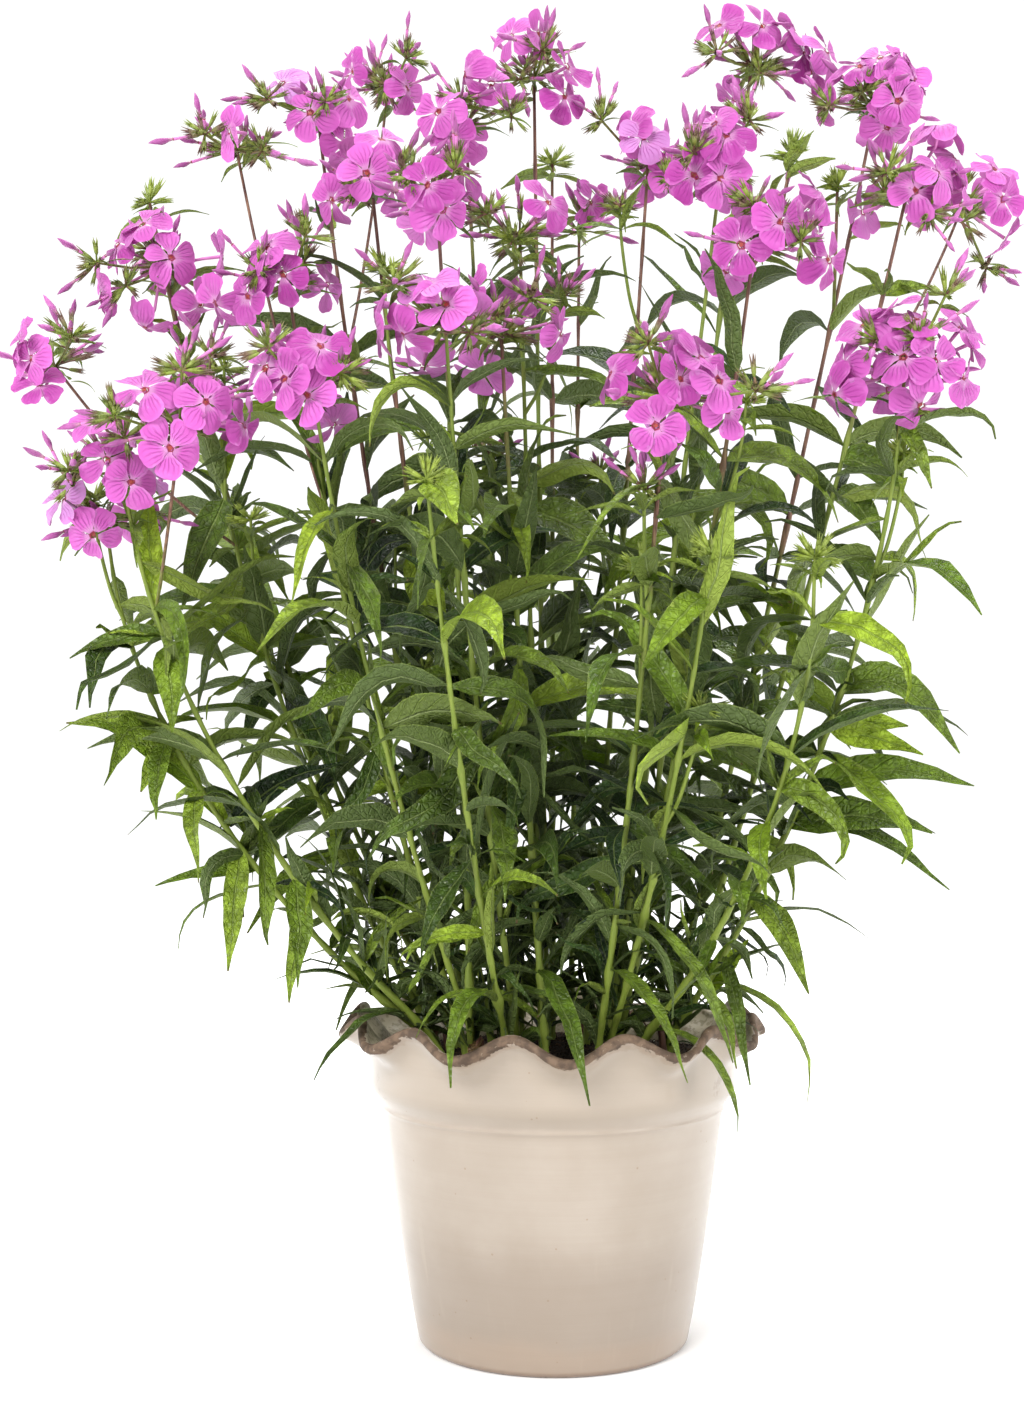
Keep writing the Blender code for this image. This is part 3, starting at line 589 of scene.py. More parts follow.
shoots = {
    "01": (-193, -40, 362, 0.42, 4, "flowers"), "02": (-182, -60, 380, 0.50, 4, "flowers"),
    "03": (-158, 12, 425, 0.62, 4, "flowers"), "04": (-98, -95, 406, 0.75, 4, "flowers"),
    "05": (-184, 45, 493, 0.72, 4, "flowers"), "06": (-117, -20, 468, 0.75, 4, "flowers"),
    "07": (-192, 55, 526, 0.72, 4, "buds"), "08": (-108, 20, 556, 0.80, 5, "flowers"),
    "09": (-51, -130, 366, 0.78, 4, "buds"), "10": (-81, -10, 516, 0.82, 4, "flowers"),
    "11": (-50, -52, 493, 0.85, 4, "flowers"), "12": (-40, 30, 555, 0.90, 5, "flowers"),
    "13": (-8, 45, 582, 1.00, 5, "flowers"), "14": (-23, -60, 437, 0.90, 4, "flowers"),
    "15": (-45, -98, 433, 0.74, 4, "flowers"), "16": (2, 110, 562, 0.85, 5, "buds"),
    "17": (-15, -20, 490, 1.00, 4, "flowers"), "18": (16, 120, 530, 0.80, 4, "flowers"),
    "19": (41, -118, 400, 0.80, 4, "flowers"), "20": (47, 60, 545, 0.95, 5, "flowers"),
    "21": (72, -35, 516, 0.95, 4, "flowers"), "22": (81, -75, 470, 0.85, 4, "flowers"),
    "23": (93, 30, 582, 0.95, 5, "flowers"), "24": (148, 15, 558, 0.92, 5, "flowers"),
    "25": (153, -30, 505, 0.88, 4, "flowers"), "26": (142, -80, 418, 0.45, 4, "flowers"),
    "27": (100, -112, 338, 0.30, 3, "buds"), "28": (58, -127, 338, 0.75, 3, "buds"),
    "29": (-62, 125, 425, 0.75, 4, "buds"), "30": (72, 118, 432, 0.75, 4, "buds"),
}
frontRoots = {"09": (-20, -52), "11": (-36, -38), "14": (-4, -48), "19": (18, -48)}
branches = {  # parent shoot, fork, head centre
    "01b": ("03", 0.80, (-224, 0, 436)), "02b": ("02", 0.80, (-152, -92, 392)),
    "06b": ("06", 0.74, (-143, 4, 535)), "08b": ("08", 0.78, (-80, 86, 590)),
    "25b": ("25", 0.80, (194, 42, 520)),
}
growth = {
    "stemRadius": 0.00150, "tipRadius": 0.00075, "rootSpread": 0.34, "rootLimit": 0.055,
    "rootSpacing": 0.0085, "rootStep": 0.0004, "room": 0.0052, "hubDepth": 0.0080, "gap": 0.0003,
    "sways": (0, 0.006, -0.006, 0.011, -0.011, 0.017, -0.017, 0.024, -0.024, 0.032, -0.032),
    "steps": 6, "branchSag": 0.12, "joint": 1.28, "brown": 0.16, "browned": (0.24, 0.42),
    "smoothing": 7, "toneVary": 0.1, "hue": (0.85, 0.13, 1.6), "branchBrowned": 0.25,
}


def chooseRoots():  # each shoot leaves the soil a little way from those before it
    roots, limit = {}, growth["rootLimit"]

    def free(spot):
        return spot.length <= limit + 4 * mm and not any(
            (spot - other).length < growth["rootSpacing"] for other in roots.values())

    for key, (x, y, *rest) in shoots.items():
        rng = random.Random("root" + key)
        wanted = Vector((x, y, 0.0)) * mm * growth["rootSpread"]
        if key in frontRoots:
            wanted = Vector((*frontRoots[key], 0.0)) * mm
        if wanted.length > limit:
            wanted = wanted.normalized() * limit
        spot, reach = wanted, 0.0
        while not free(spot):
            reach += growth["rootStep"]
            spot = wanted + flat(rng.uniform(0, fullTurn)) * reach
        roots[key] = spot
    return roots


def shootPath(root, head, lean, sway):
    base = Vector((root.x, root.y, soil["height"] - soil["socket"] + mm))
    collar = Vector((root.x, root.y, soil["height"] + soil["collar"]))
    across = Vector((-(head.y - root.y), head.x - root.x, 0.0))
    across = across.normalized() if across.length > mm else Vector((1, 0, 0))
    points, steps = [base, collar], growth["steps"]
    for step in range(1, steps + 1):
        share = step / steps
        outward = share * (1 - (1 - lean) * 1.5 * (share - 1))
        parts = zip(collar, head, (outward, outward, share))
        point = Vector([low + (high - low) * part for low, high, part in parts])
        points.append(point + across * sway * sin(pi * share))
    return points


def pointAlong(path, share):
    place = share * (len(path) - 1)
    index = min(int(place), len(path) - 2)
    return path[index].lerp(path[index + 1], place - index)


def branchPath(parent, fork, head):
    start = pointAlong(parent, fork)
    middle = (start + head) / 2 - up * (head - start).length * growth["branchSag"]
    return bowed(start, middle, head, (0, 0.2, 0.4, 0.6, 0.8, 1))


def growPaths(roots):  # each shoot sways sideways until it is clear of those before it
    found, samples = {}, {}
    for key, (x, y, z, lean, *rest) in shoots.items():
        best = None
        for sway in growth["sways"]:
            path = shootPath(roots[key], Vector((x, y, z)) * mm, lean, sway)
            mine = [pointAlong(path, step / 70) for step in range(71)]
            room = min(((a - b).length for other in samples.values() for a in mine for b in other),
                       default=1.0)
            if best is None or room > best[0]:
                best = (room, path, mine)
            if room > growth["room"]:
                break
        found[key], samples[key] = best[1], best[2]
    return found


paths = growPaths(chooseRoots())
print("shoots placed,", len(paths))


# Skeletons: lines and spots with values, which the dressing tree turns into stalks, blades and buds

stalkKind, leafKind, petalKind, tubeKind, calyxKind, budKind = range(6)


class Skeleton:
    def __init__(self, name):
        self.name = name
        self.points, self.edges = [], []
        self.values = {"kind": ("INT", []),
                       **{key: ("FLOAT", []) for key in ("wide", "tone", "hue", "spin")},
                       "facing": ("FLOAT_VECTOR", [])}

    def put(self, point, **given):
        self.points.append(point)
        for key, (kind, items) in self.values.items():
            items.append(given.get(key, up if key == "facing" else 0))

    def line(self, kind, points, widths, facings=None, **given):
        first = len(self.points)
        for index, point in enumerate(points):
            here = {key: value[index] if isinstance(value, list) else value
                    for key, value in given.items()}
            self.put(point, kind=kind, wide=widths[index],
                     facing=facings[index] if facings else up, **here)
        self.edges += [(first + i, first + i + 1) for i in range(len(points) - 1)]

    def spot(self, kind, point, facing, size, **given):
        self.put(point, kind=kind, wide=size, facing=facing, **given)

    def dressed(self):
        return dresser.grow(self.name, lineMesh(self.name, self.points, self.edges, self.values))


def closedCurve(name, points):
    curve = bpy.data.curves.new(name, "CURVE")
    curve.dimensions = "3D"
    spline = curve.splines.new("POLY")
    spline.points.add(len(points) - 1)
    for point, place in zip(spline.points, points):
        point.co = (*place, 0.0, 1.0)
    spline.use_cyclic_u = True
    return linked(name, curve)


def shapeFrom(name, bm, length):  # a small shape along +Z with its height as a value
    bmesh.ops.recalc_face_normals(bm, faces=bm.faces)
    mesh = meshFrom(name, bm)
    along = mesh.attributes.new("along", "FLOAT", "POINT")
    for slot, vert in zip(along.data, mesh.vertices):
        slot.value = vert.co.z / length
    mesh.shade_smooth()
    return linked(name, mesh)


def ringLoft(bm, rings):
    rows = [[bm.verts.new(point) for point in ring] for ring in rings]
    for low, high in zip(rows, rows[1:]):
        for index in range(len(low)):
            after = (index + 1) % len(low)
            bm.faces.new((low[index], low[after], high[after], high[index]))
    bm.faces.new(list(reversed(rows[0])))
    bm.faces.new(rows[-1])


calyx = {"length": 0.0095, "cup": 0.0052, "radius": 0.00125, "foot": 0.0005, "tilt": 9.0,
         "sepals": 5, "sepalWide": 0.00078, "sepalTip": 0.00005, "sepalThick": 0.55,
         "pedicel": 0.00042, "arch": 0.12, "overlap": 0.0002, "toneVary": (0.7, 1.3)}
bud = {"length": 0.0118, "radius": 0.0015, "twist": 150.0, "ridges": 0.12, "seat": 0.6,
       "hue": (0.05, 0.5), "sizeVary": (0.8, 1.15), "stray": 0.22, "tubeFrom": 0.003,
       "tube": (0.0006, 0.00062, 0.00075), "tubeIn": 0.0004,
       "outline": ((0, 0.36), (0.15, 0.55), (0.35, 0.92), (0.52, 1.0), (0.7, 0.82), (0.87, 0.45),
                   (1, 0.08))}


def makeCalyx():
    bm = bmesh.new()
    wide, cup, length = calyx["radius"], calyx["cup"], calyx["length"]
    ringLoft(bm, [circle(radius, calyx["sepals"], height) for radius, height in (
        (calyx["foot"], 0), (wide * 0.8, cup * 0.3), (wide, cup))])
    for index in range(calyx["sepals"]):
        angle = fullTurn * index / calyx["sepals"]
        spike = bmesh.ops.create_cone(
            bm, cap_ends=True, segments=4, radius1=calyx["sepalWide"], radius2=calyx["sepalTip"],
            depth=length - cup + 0.0012)
        turn = Quaternion(up, angle) @ Quaternion((0, 1, 0), radians(calyx["tilt"]))
        move = Vector((wide * 0.85 * cos(angle), wide * 0.85 * sin(angle),
                       (length + cup) / 2 - 0.0006))
        for vert in spike["verts"]:
            vert.co = turn @ Vector((vert.co.x * calyx["sepalThick"], *vert.co.yz)) + move
    return shapeFrom("calyxShape", bm, length)


def makeBud():
    bm = bmesh.new()
    rings = []
    for share, wide in bud["outline"]:
        turn = radians(bud["twist"]) * share
        ring = []
        for step in range(6):
            angle = turn + fullTurn * step / 6
            radius = bud["radius"] * wide * (1 + bud["ridges"] * (-1) ** step)
            ring.append((radius * cos(angle), radius * sin(angle), bud["length"] * share))
        rings.append(ring)
    ringLoft(bm, rings)
    return shapeFrom("budShape", bm, bud["length"])


def dressingTree(values):
    t = Tree("dressPlant", values)
    wide, facing = t.read("wide"), t.read("facing", "FLOAT_VECTOR")
    where = t.add("GeometryNodeInputPosition")

    def only(code):
        return t.on(t.given("Geometry"), "SeparateGeometry", {"Selection": t.whereKind(code)},
                    domain="POINT")

    def swept(code, section, across):
        line = t.curveOf(only(code))
        if across:
            line = t.faced(line, facing)
        line = t.keep(line, "along", t.add("GeometryNodeSplineParameter", out="Factor"))
        return t.sweep(line, section, wide, **{"Fill Caps": True})

    def blades(code, label, slope, scale):  # swept sections, stirred a little, with sharp edges
        x, y, z = t.split(where)
        section = t.keep(t.shapeOf(label + " section"), "across", x)
        section = t.keep(section, "belly", y < x.size() * slope - 0.005)
        stir = t.add("ShaderNodeTexNoise", {}, {"Vector": where, "Scale": scale, "Detail": 1.0},
                     out="Color")
        stir = t.vectors("SCALE", t.vectors("SUBTRACT", stir, (0.5, 0.5, 0.5)),
                         scale=t.given(label + " wobble"))
        shape = t.on(swept(code, section, True), "SetPosition", {"Offset": stir})
        shape = t.on(shape, "SetShadeSmooth", {"Shade Smooth": True})
        sharp = t.add("GeometryNodeInputMeshEdgeAngle") > 1.1
        return t.on(shape, "SetShadeSmooth", {"Selection": sharp, "Shade Smooth": False},
                    domain="EDGE")

    def copied(code, label):
        turn = t.add("FunctionNodeAlignRotationToVector", {"axis": "Z"}, {"Vector": facing})
        spun = t.add("FunctionNodeAxisAngleToRotation", {},
                     {"Axis": (0.0, 0.0, 1.0), "Angle": t.read("spin")})
        turn = t.add("FunctionNodeRotateRotation", {"rotation_space": "LOCAL"}, {0: turn, 1: spun})
        return t.add("GeometryNodeInstanceOnPoints", {}, {
            "Points": only(code), "Instance": t.shapeOf(label), "Rotation": turn,
            "Scale": t.vector(wide, wide, wide)})

    ring = t.ring(t.given("Stalk sides"), 1.0)
    stalks = t.join(swept(stalkKind, ring, False), swept(tubeKind, ring, False))
    leaves = blades(leafKind, "Leaf", 0.3, 55.0)
    petals = blades(petalKind, "Petal", 0.0, 190.0)
    plant = t.join(t.on(stalks, "SetShadeSmooth"), leaves, petals, copied(calyxKind, "Calyx"),
                   copied(budKind, "Bud"))
    names = ("Stalk", "Leaf", "Petal", "Tube", "Calyx", "Bud")  # in the order of their kinds
    t.end(plant, [(t.whereKind(code), name + " finish") for code, name in enumerate(names)])
    return t


# Finishes of the plant

tints = {
    "stalk": {"green": ((0.085, 0.130, 0.016), (0.20, 0.265, 0.036)), "streak": (0.28, 0.31, 0.07),
              "brown": ((0.085, 0.034, 0.028), (0.21, 0.11, 0.070))},
    "leaf": {"dark": ((0.006, 0.018, 0.003), (0.025, 0.056, 0.008)),
             "litAndFresh": ((0.080, 0.140, 0.010), (0.225, 0.315, 0.030)), "bright": (0.29, 0.40, 0.030),
             "dustAndSheen": (0.34, 0.40, 0.24), "rib": (0.30, 0.39, 0.11), "edge": (0.27, 0.34, 0.08),
             "below": ((0.070, 0.105, 0.024), (0.27, 0.35, 0.055)), "ribBelow": (0.34, 0.42, 0.16),
             "burnt": (0.14, 0.075, 0.03), "through": (0.40, 0.56, 0.020)},
    "petal": {"pink": ((0.43, 0.050, 0.34), (0.63, 0.135, 0.53)), "faded": (0.60, 0.31, 0.66),
              "cloud": (0.78, 0.27, 0.70), "ray": (0.33, 0.028, 0.27), "edge": (0.80, 0.30, 0.72),
              "under": (0.60, 0.24, 0.57), "halo": (0.90, 0.68, 0.86), "eye": (0.30, 0.020, 0.035),
              "through": (0.74, 0.15, 0.60)},
    "tube": {"pink": ((0.40, 0.16, 0.30), (0.62, 0.18, 0.50)), "streak": (0.34, 0.08, 0.24),
             "faded": (0.50, 0.30, 0.52), "mouth": (0.26, 0.030, 0.022)},
    "calyx": {"green": ((0.060, 0.088, 0.010), (0.31, 0.40, 0.038)), "cloud": (0.32, 0.38, 0.11),
              "ripe": (0.135, 0.046, 0.060)},
    "bud": {"pink": ((0.23, 0.042, 0.18), (0.46, 0.115, 0.38)), "streak": (0.26, 0.035, 0.19),
            "foot": (0.46, 0.26, 0.28)},
}


def stalkFinish(tint):
    f = Finish("stalkSkin", {"Roughness": 0.5, "Specular IOR Level": 0.3})
    tone, hue = f.read("tone", "hue")
    streak, blotch = f.streaks(1.0, (900.0, 900.0, 40.0)), f.cloud(70, 3)
    green = f.layers(f.mix(hue, *tint["green"]), (streak.ease(0.4, 0.7) * 0.3, tint["streak"]))
    brown = f.mix(streak.ease(0.35, 0.7), *tint["brown"])
    return f.feed(colour=f.mix((tone + (blotch - 0.5) * 0.5).ease(0.35, 0.75), green, brown),
                  roughness=0.42 + streak * 0.2, relief=f.bump(streak, 0.3, 0.0003))


def leafFinish(tint):
    f = Finish("leafBlade", {"Roughness": 0.4, "Specular IOR Level": 0.36})
    along, across, belly, tone, hue = f.read("along", "across", "belly", "tone", "hue")
    cloud, fine, side = f.cloud(140, 3, 0.6), f.cloud(900, 2, 0.6), across.size()
    net = f.cells(400.0, "DISTANCE_TO_EDGE").ease(0.0, 0.22)  # 0 on small veins, 1 between them
    veins = (side * 7.0 - along * 46.0 + cloud * 2.0).sine().ease(0.80, 1.0)
    veins = veins * side.ease(0.05, 0.2) * side.ease(1.0, 0.8)
    rib, under = side.ease(0.11, 0.03), belly.ease(0.01, 0.12)
    # pale grey-green spots: dust, and also a painted sheen
    dustAndSheenSpots = f.cells(330.0).ease(0.20, 0.12) * (f.cloud(38, 1) > 0.54)
    # dark green for leaves in the middle of the plant is painted shade; the lighter green, and the
    # bright one that comes more often outside, are partly painted light and partly fresher growth
    top = f.mix(hue.ease(0.0, 0.62), f.mix(tone, *tint["dark"]), f.mix(tone, *tint["litAndFresh"]))
    top = f.mix(hue.ease(0.62, 1.0), top, tint["bright"])
    shade = 0.67 + cloud.ease(0.38, 0.68) * 0.87 + veins * 0.5
    top = f.layers(f.scaled(top, shade + fine.ease(0.5, 0.75) * 0.4 + net * 0.12),
                   (dustAndSheenSpots * 0.5, tint["dustAndSheen"]), (rib * 0.42, tint["rib"]))
    below = f.scaled(f.mix(hue.ease(0.2, 0.9), *tint["below"]), 0.85 + cloud * 0.4 + veins * 0.5)
    below = f.mix(rib * 0.6, below, tint["ribBelow"])
    burnt = (along + (cloud - 0.5) * 0.10).ease(0.97, 0.99) * (tone > 0.7)
    burnt = burnt.highest(hue < -0.5)  # a hue below zero is a withered leaf
    colour = f.layers(f.mix(under, top, below), (side.ease(0.92, 1.0) * 0.5, tint["edge"]),
                      (burnt * 0.8, tint["burnt"]))
    # leaves that are painted lighter by their place also let more light through
    f.glow(tint["through"], 0.03 + hue.highest(0.0) * 0.32)
    relief = cloud * 1.2 + fine * 0.12 + net * 0.45 - rib * 1.1 - veins * 1.1
    return f.feed(colour=colour, roughness=0.32 + cloud * 0.20 + under * 0.15,
                  relief=f.bump(relief, 0.95, 0.0011))


def petalFinish(tint):
    f = Finish("petalSkin", {"Roughness": 0.55, "Specular IOR Level": 0.3, "Sheen Weight": 0.2})
    along, across, belly, tone = f.read("along", "across", "belly", "tone")
    cloud, under = f.cloud(160, 3), belly.ease(0.01, 0.12)
    rays = (across * 17.0 + cloud * 4.0).sine().ease(0.2, 1.0) * along.ease(1.0, 0.4)
    halo = along.ease(0.34, 0.10) * (0.28 + rays * 0.25)
    colour = f.layers(
        f.mix(tone.ease(0.0, 0.8), *tint["pink"]), (tone.ease(0.93, 0.97), tint["faded"]),
        (cloud.ease(0.45, 0.75) * 0.35, tint["cloud"]), (rays * 0.6, tint["ray"]),
        (across.size().ease(0.6, 1.0) * 0.25, tint["edge"]), (under * 0.55, tint["under"]),
        (halo, tint["halo"]), (along.ease(0.07, 0.03), tint["eye"]))
    f.glow(tint["through"], 0.30)
    return f.feed(colour=colour, roughness=0.5 + cloud * 0.15,
                  relief=f.bump(cloud * 1.2 - rays * 0.8, 0.7, 0.0005))


def tubeFinish(tint):
    f = Finish("corollaTube", {"Roughness": 0.5})
    along, tone = f.read("along", "tone")
    streak = f.cloud(400)
    colour = f.layers(f.mix(along, *tint["pink"]), (streak.ease(0.4, 0.7) * 0.4, tint["streak"]),
                      (tone.ease(0.93, 0.97), tint["faded"]),
                      (along.ease(0.975, 0.995), tint["mouth"]))
    return f.feed(colour=colour, roughness=0.45 + streak * 0.2,
                  relief=f.bump(streak, 0.2, 0.0002))


def calyxFinish(tint):
    f = Finish("calyxSkin", {"Roughness": 0.5})
    along, tone, hue = f.read("along", "tone", "hue")
    cloud = f.cloud(500)
    ripe = (along * 0.7 + tone * 0.9 + (cloud - 0.5) * 0.4).ease(0.75, 1.25)
    colour = f.layers(f.mix(hue, *tint["green"]), (cloud.ease(0.4, 0.7) * 0.35, tint["cloud"]),
                      (ripe * 0.8, tint["ripe"]))
    return f.feed(colour=colour, roughness=0.45 + cloud * 0.2,
                  relief=f.bump(cloud, 0.3, 0.0003))


def budFinish(tint):
    f = Finish("budSkin", {"Roughness": 0.5, "Sheen Weight": 0.15})
    along, tone = f.read("along", "tone")
    streak = f.streaks(520, (1.0, 1.0, 0.5))
    colour = f.layers(f.mix(tone, *tint["pink"]), (streak.ease(0.4, 0.65) * 0.5, tint["streak"]),
                      (along.ease(0.35, 0.0) * 0.7, tint["foot"]))
    return f.feed(colour=colour, roughness=0.45 + streak * 0.2,
                  relief=f.bump(streak, 0.3, 0.0003))


sections = {  # outlines of half a blade's width, across and up, from the edge to the rib and back
    "Leaf": ((1, 0.36), (0.5, 0.20), (0, 0), (-0.5, 0.20), (-1, 0.36), (-0.5, 0.12), (0, -0.075),
             (0.5, 0.12)),
    "Petal": ((1, 0.07), (0.5, 0.0), (0, 0.03), (-0.5, 0.0), (-1, 0.07), (-0.5, -0.045),
              (0, -0.04), (0.5, -0.045)),
}
dressing = {
    "Leaf section": closedCurve("leafSection", sections["Leaf"]),
    "Petal section": closedCurve("petalSection", sections["Petal"]),
    "Calyx": makeCalyx(), "Bud": makeBud(), "Stalk sides": 7, "Leaf wobble": 0.0044,
    "Petal wobble": 0.0030, "Stalk finish": stalkFinish(tints["stalk"]),
    "Leaf finish": leafFinish(tints["leaf"]), "Petal finish": petalFinish(tints["petal"]),
    "Tube finish": tubeFinish(tints["tube"]), "Calyx finish": calyxFinish(tints["calyx"]),
    "Bud finish": budFinish(tints["bud"]),
}
dresser = dressingTree(dressing)


# Leaves

leafStyle = {
    "aspect": 0.21, "least": 0.034, "extra": 0.030, "roll": radians(55), "segments": 9,
    "small": 0.034, "fewer": 5, "twist": 0.55, "sweep": 0.07, "wallRoom": 0.003, "spared": 0.8,
    "halfWide": 0.186, "lowSlim": 0.54, "lowEnd": 0.205, "lowOuterLit": (0.15, 0.6),
    "thinnest": 0.00035, "edge": (0.96, 1.03), "shape": (0.7, 1.3), "curledShape": (0.6, 1.3),
    "drawnShape": (0.6, 1.15), "overLip": 0.012, "pairs": (0.17, 0.72), "pairRise": (25, 50),
    "pairDroop": (45, 100),
}
curling = {"bend": (-1.2, 1.2), "curl": (-0.3, 1.1), "wave": (-0.4, 0.4), "lifts": (0, 14, 28, 42),
           "roll": 0.65, "twist": (-1.8, 1.8), "curlFrom": 0.6}
between = {  # smaller leaves between the large pairs; rises and droops are in degrees
    "spacing": 0.0168, "clear": 0.008, "first": 0.09, "last": 0.94, "sparseFrom": 0.385,
    "sparsePace": 2.0, "denseTo": 0.2, "densePace": 0.6, "missing": 0.56, "size": (0.044, 0.020),
    "width": (0.0068, 0.0050), "slimHigh": (0.33, 0.8), "slimLow": (0.18, 0.75),
    "swellsFrom": (0.15, 0.12), "shrinksTo": (0.53, 0.16), "plain": ((-25, 66), (0, 125)),
    "upright": ((45, 82), (0, 60)), "hanging": ((-50, -10), (10, 50)), "uprightTo": 0.19,
    "uprights": (0.6, 0.2), "hangers": 0.3, "tuft": ((5, 75), (0, 70)), "tufts": 0.45,
    "tuftLength": (0.014, 0.032), "tuftAspect": (0.13, 0.24),
}
# the leaves' green by place: darker in the middle as painted shade, lighter outside and higher up,
# partly painted light and partly fresher growth
shadeAndFreshness = {"least": -0.10, "out": (0.38, 0.17), "high": (0.12, 0.14, 0.35), "vary": (-0.22, 0.30),
             "brights": (0.08, 0.12), "bright": 0.45}
turns = (  # ways that the frame's leaves may be turned, raised and shortened
    (0, 0, 1), (12, 0, 1), (-12, 0, 1), (0, 12, 0.92), (0, -14, 0.92), (24, 5, 0.85),
    (-24, 5, 0.85), (36, -8, 0.75), (-36, -8, 0.75), (0, 20, 0.6), (18, -20, 0.55))
hungLeaves = (  # shoot, place along it, direction, length, rise, droop: leaves outside the mass
    ("01", 0.62, 185, 0.046, 20, 50), ("01", 0.60, 262, 0.042, -50, 25),
    ("01", 0.36, 170, 0.056, 45, 45), ("02", 0.30, 265, 0.052, -40, 35),
    ("02", 0.42, 178, 0.058, 25, 70), ("14", 0.12, 287, 0.084, -5, 62),
    ("09", 0.10, 249, 0.072, 40, 135), ("19", 0.14, 298, 0.075, 0, 65),
    ("02", 0.06, 212, 0.060, 10, 70), ("28", 0.30, 320, 0.072, -30, 45),
    ("26", 0.10, 328, 0.078, 10, 110), ("26", 0.50, 350, 0.060, 30, 75),
    ("26", 0.34, 5, 0.066, 28, 60), ("26", 0.20, 352, 0.060, 25, 70),
    ("27", 0.16, 300, 0.050, -5, 75), ("27", 0.05, 318, 0.066, 10, 100),
)


def anyAngles(rng, ranges):
    return [radians(rng.uniform(*limits)) for limits in ranges]


def leafFrame(base, azimuth, rise, droop, length, share):
    outward = flat(azimuth)
    point, direction, parts = base.copy(), outward, 12
    for part in range(parts):
        angle = rise - droop * (part + 0.5) / parts
        direction = outward * cos(angle) + up * sin(angle)
        if part / parts >= share:
            break
        point += direction * length / parts * min(1.0, share * parts - part)
    return point, direction


def builtAs(corners, leaf):  # the form in which the frame holds a leaf, or None
    base, azimuth, rise, droop, length, width, roll = leaf
    for turn, lift, scale in turns:
        tried = (base, azimuth + radians(turn), rise + radians(lift), droop,
                 length * scale, width * scale, roll)
        tip = leafFrame(*tried[:5], 1.0)[0]
        if any((corner - tip).length < 0.0002 for corner in corners):
            return tried
    return None


def addBlade(skeleton, points, sides, width, rng, hue, shape="shape"):
    rise, fall = leafStyle[shape]
    widest = rise / (rise + fall)
    most = widest ** rise * (1 - widest) ** fall
    run = len(points) - 1
    widths = []
    for index in range(run + 1):
        swell = (index / run) ** rise * (1 - index / run) ** fall / most
        wide = swell * width / 2 * rng.uniform(*leafStyle["edge"])
        widths.append(max(leafStyle["thinnest"], wide))
    skeleton.line(leafKind, points, widths, sides, tone=rng.random(), hue=hue)


def addLeaf(skeleton, leaf, rng, hue):
    base, azimuth, rise, droop, length, width, roll = leaf
    level = Vector((-sin(azimuth), cos(azimuth), 0.0))
    twist = rng.uniform(-1, 1) * leafStyle["twist"]
    sweep = rng.uniform(-1, 1) * leafStyle["sweep"] * length
    points, sides = [], []
    for index in range(leafStyle["segments"] + 1):
        share = index / leafStyle["segments"]
        point, direction = leafFrame(base, azimuth, rise, droop, length, share)
        side = Quaternion(direction, roll + twist * share) @ level
        points.append(point + side * sweep * sin(pi * share) * 0.5)
        sides.append(side)
    addBlade(skeleton, points, sides, width, rng, hue)


def hitsPot(points):
    room = leafStyle["wallRoom"]
    top = pot["rimHeight"] + pot["lip"] + pot["lobeHeight"] + room
    inside = pot["collarRadius"] - pot["wall"] - room
    for point in points:
        radius = hypot(point.x, point.y)
        if point.z < top and inside < radius < pot["rimRadius"] + room + 0.001:
            return True
        if radius < inside and point.z < soil["height"] + soil["crown"] + room:
            return True
    return False


def hangsOver(points):  # whether a leaf comes down outside the lip
    low = pot["rimHeight"] + leafStyle["overLip"]
    return any(point.z < low and hypot(point.x, point.y) > pot["rimRadius"] for point in points)


def curlingPoints(base, azimuth, rise, droop, bend, curl, wave, length):
    points, headings = [base.copy()], []
    segments = leafStyle["segments"] if length > leafStyle["small"] else leafStyle["fewer"]
    for index in range(segments):
        share = (index + 0.5) / segments
        tip = max(0.0, share - curling["curlFrom"])
        angle = rise - droop * share ** 1.25 - curl * tip ** 2 * 6 + wave * sin(7 * share)
        heading = azimuth + bend * share
        step = Vector((cos(heading) * cos(angle), sin(heading) * cos(angle), sin(angle)))
        points.append(points[-1] + step * length / segments)
        headings.append(heading)
    return points, [*headings, headings[-1]]


def addCurlingLeaf(skeleton, base, azimuth, rise, droop, length, aspect, rng, hue):
    bend, curl, wave = [rng.uniform(*curling[key]) for key in ("bend", "curl", "wave")]
    for lift in curling["lifts"]:
        points, headings = curlingPoints(base, azimuth, rise + radians(lift), droop, bend, curl,
                                         wave, length)
        if not hitsPot(points):
            break
    else:
        return
    if hangsOver(points) and rng.random() < leafStyle["spared"]:
        return
    if abs(points[-1].x + 0.01) > leafStyle["halfWide"]:
        return
    roll, twist = rng.gauss(0, curling["roll"]), rng.uniform(*curling["twist"])
    sides = []
    for index, heading in enumerate(headings):
        turn = Quaternion(tangentAt(points, index), roll + twist * index / len(headings))
        sides.append(turn @ Vector((-sin(heading), cos(heading), 0.0)))
    addBlade(skeleton, points, sides, length * aspect, rng, hue, "curledShape")


def addDrawnLeaf(skeleton, base, tip, arch, width, wish, rng, hue):  # its face towards wish
    middle = (base + tip) / 2 + up * arch * 2
    count = leafStyle["segments"]
    points = bowed(base, middle, tip, [index / count for index in range(count + 1)])
    sides, side = [], Vector((1, 0, 0))
    for index in range(len(points)):
        across = wish.cross(tangentAt(points, index))
        side = across.normalized() if across.length > 0.2 else side
        sides.append(side.copy())
    addBlade(skeleton, points, sides, width, rng, hue, "drawnShape")


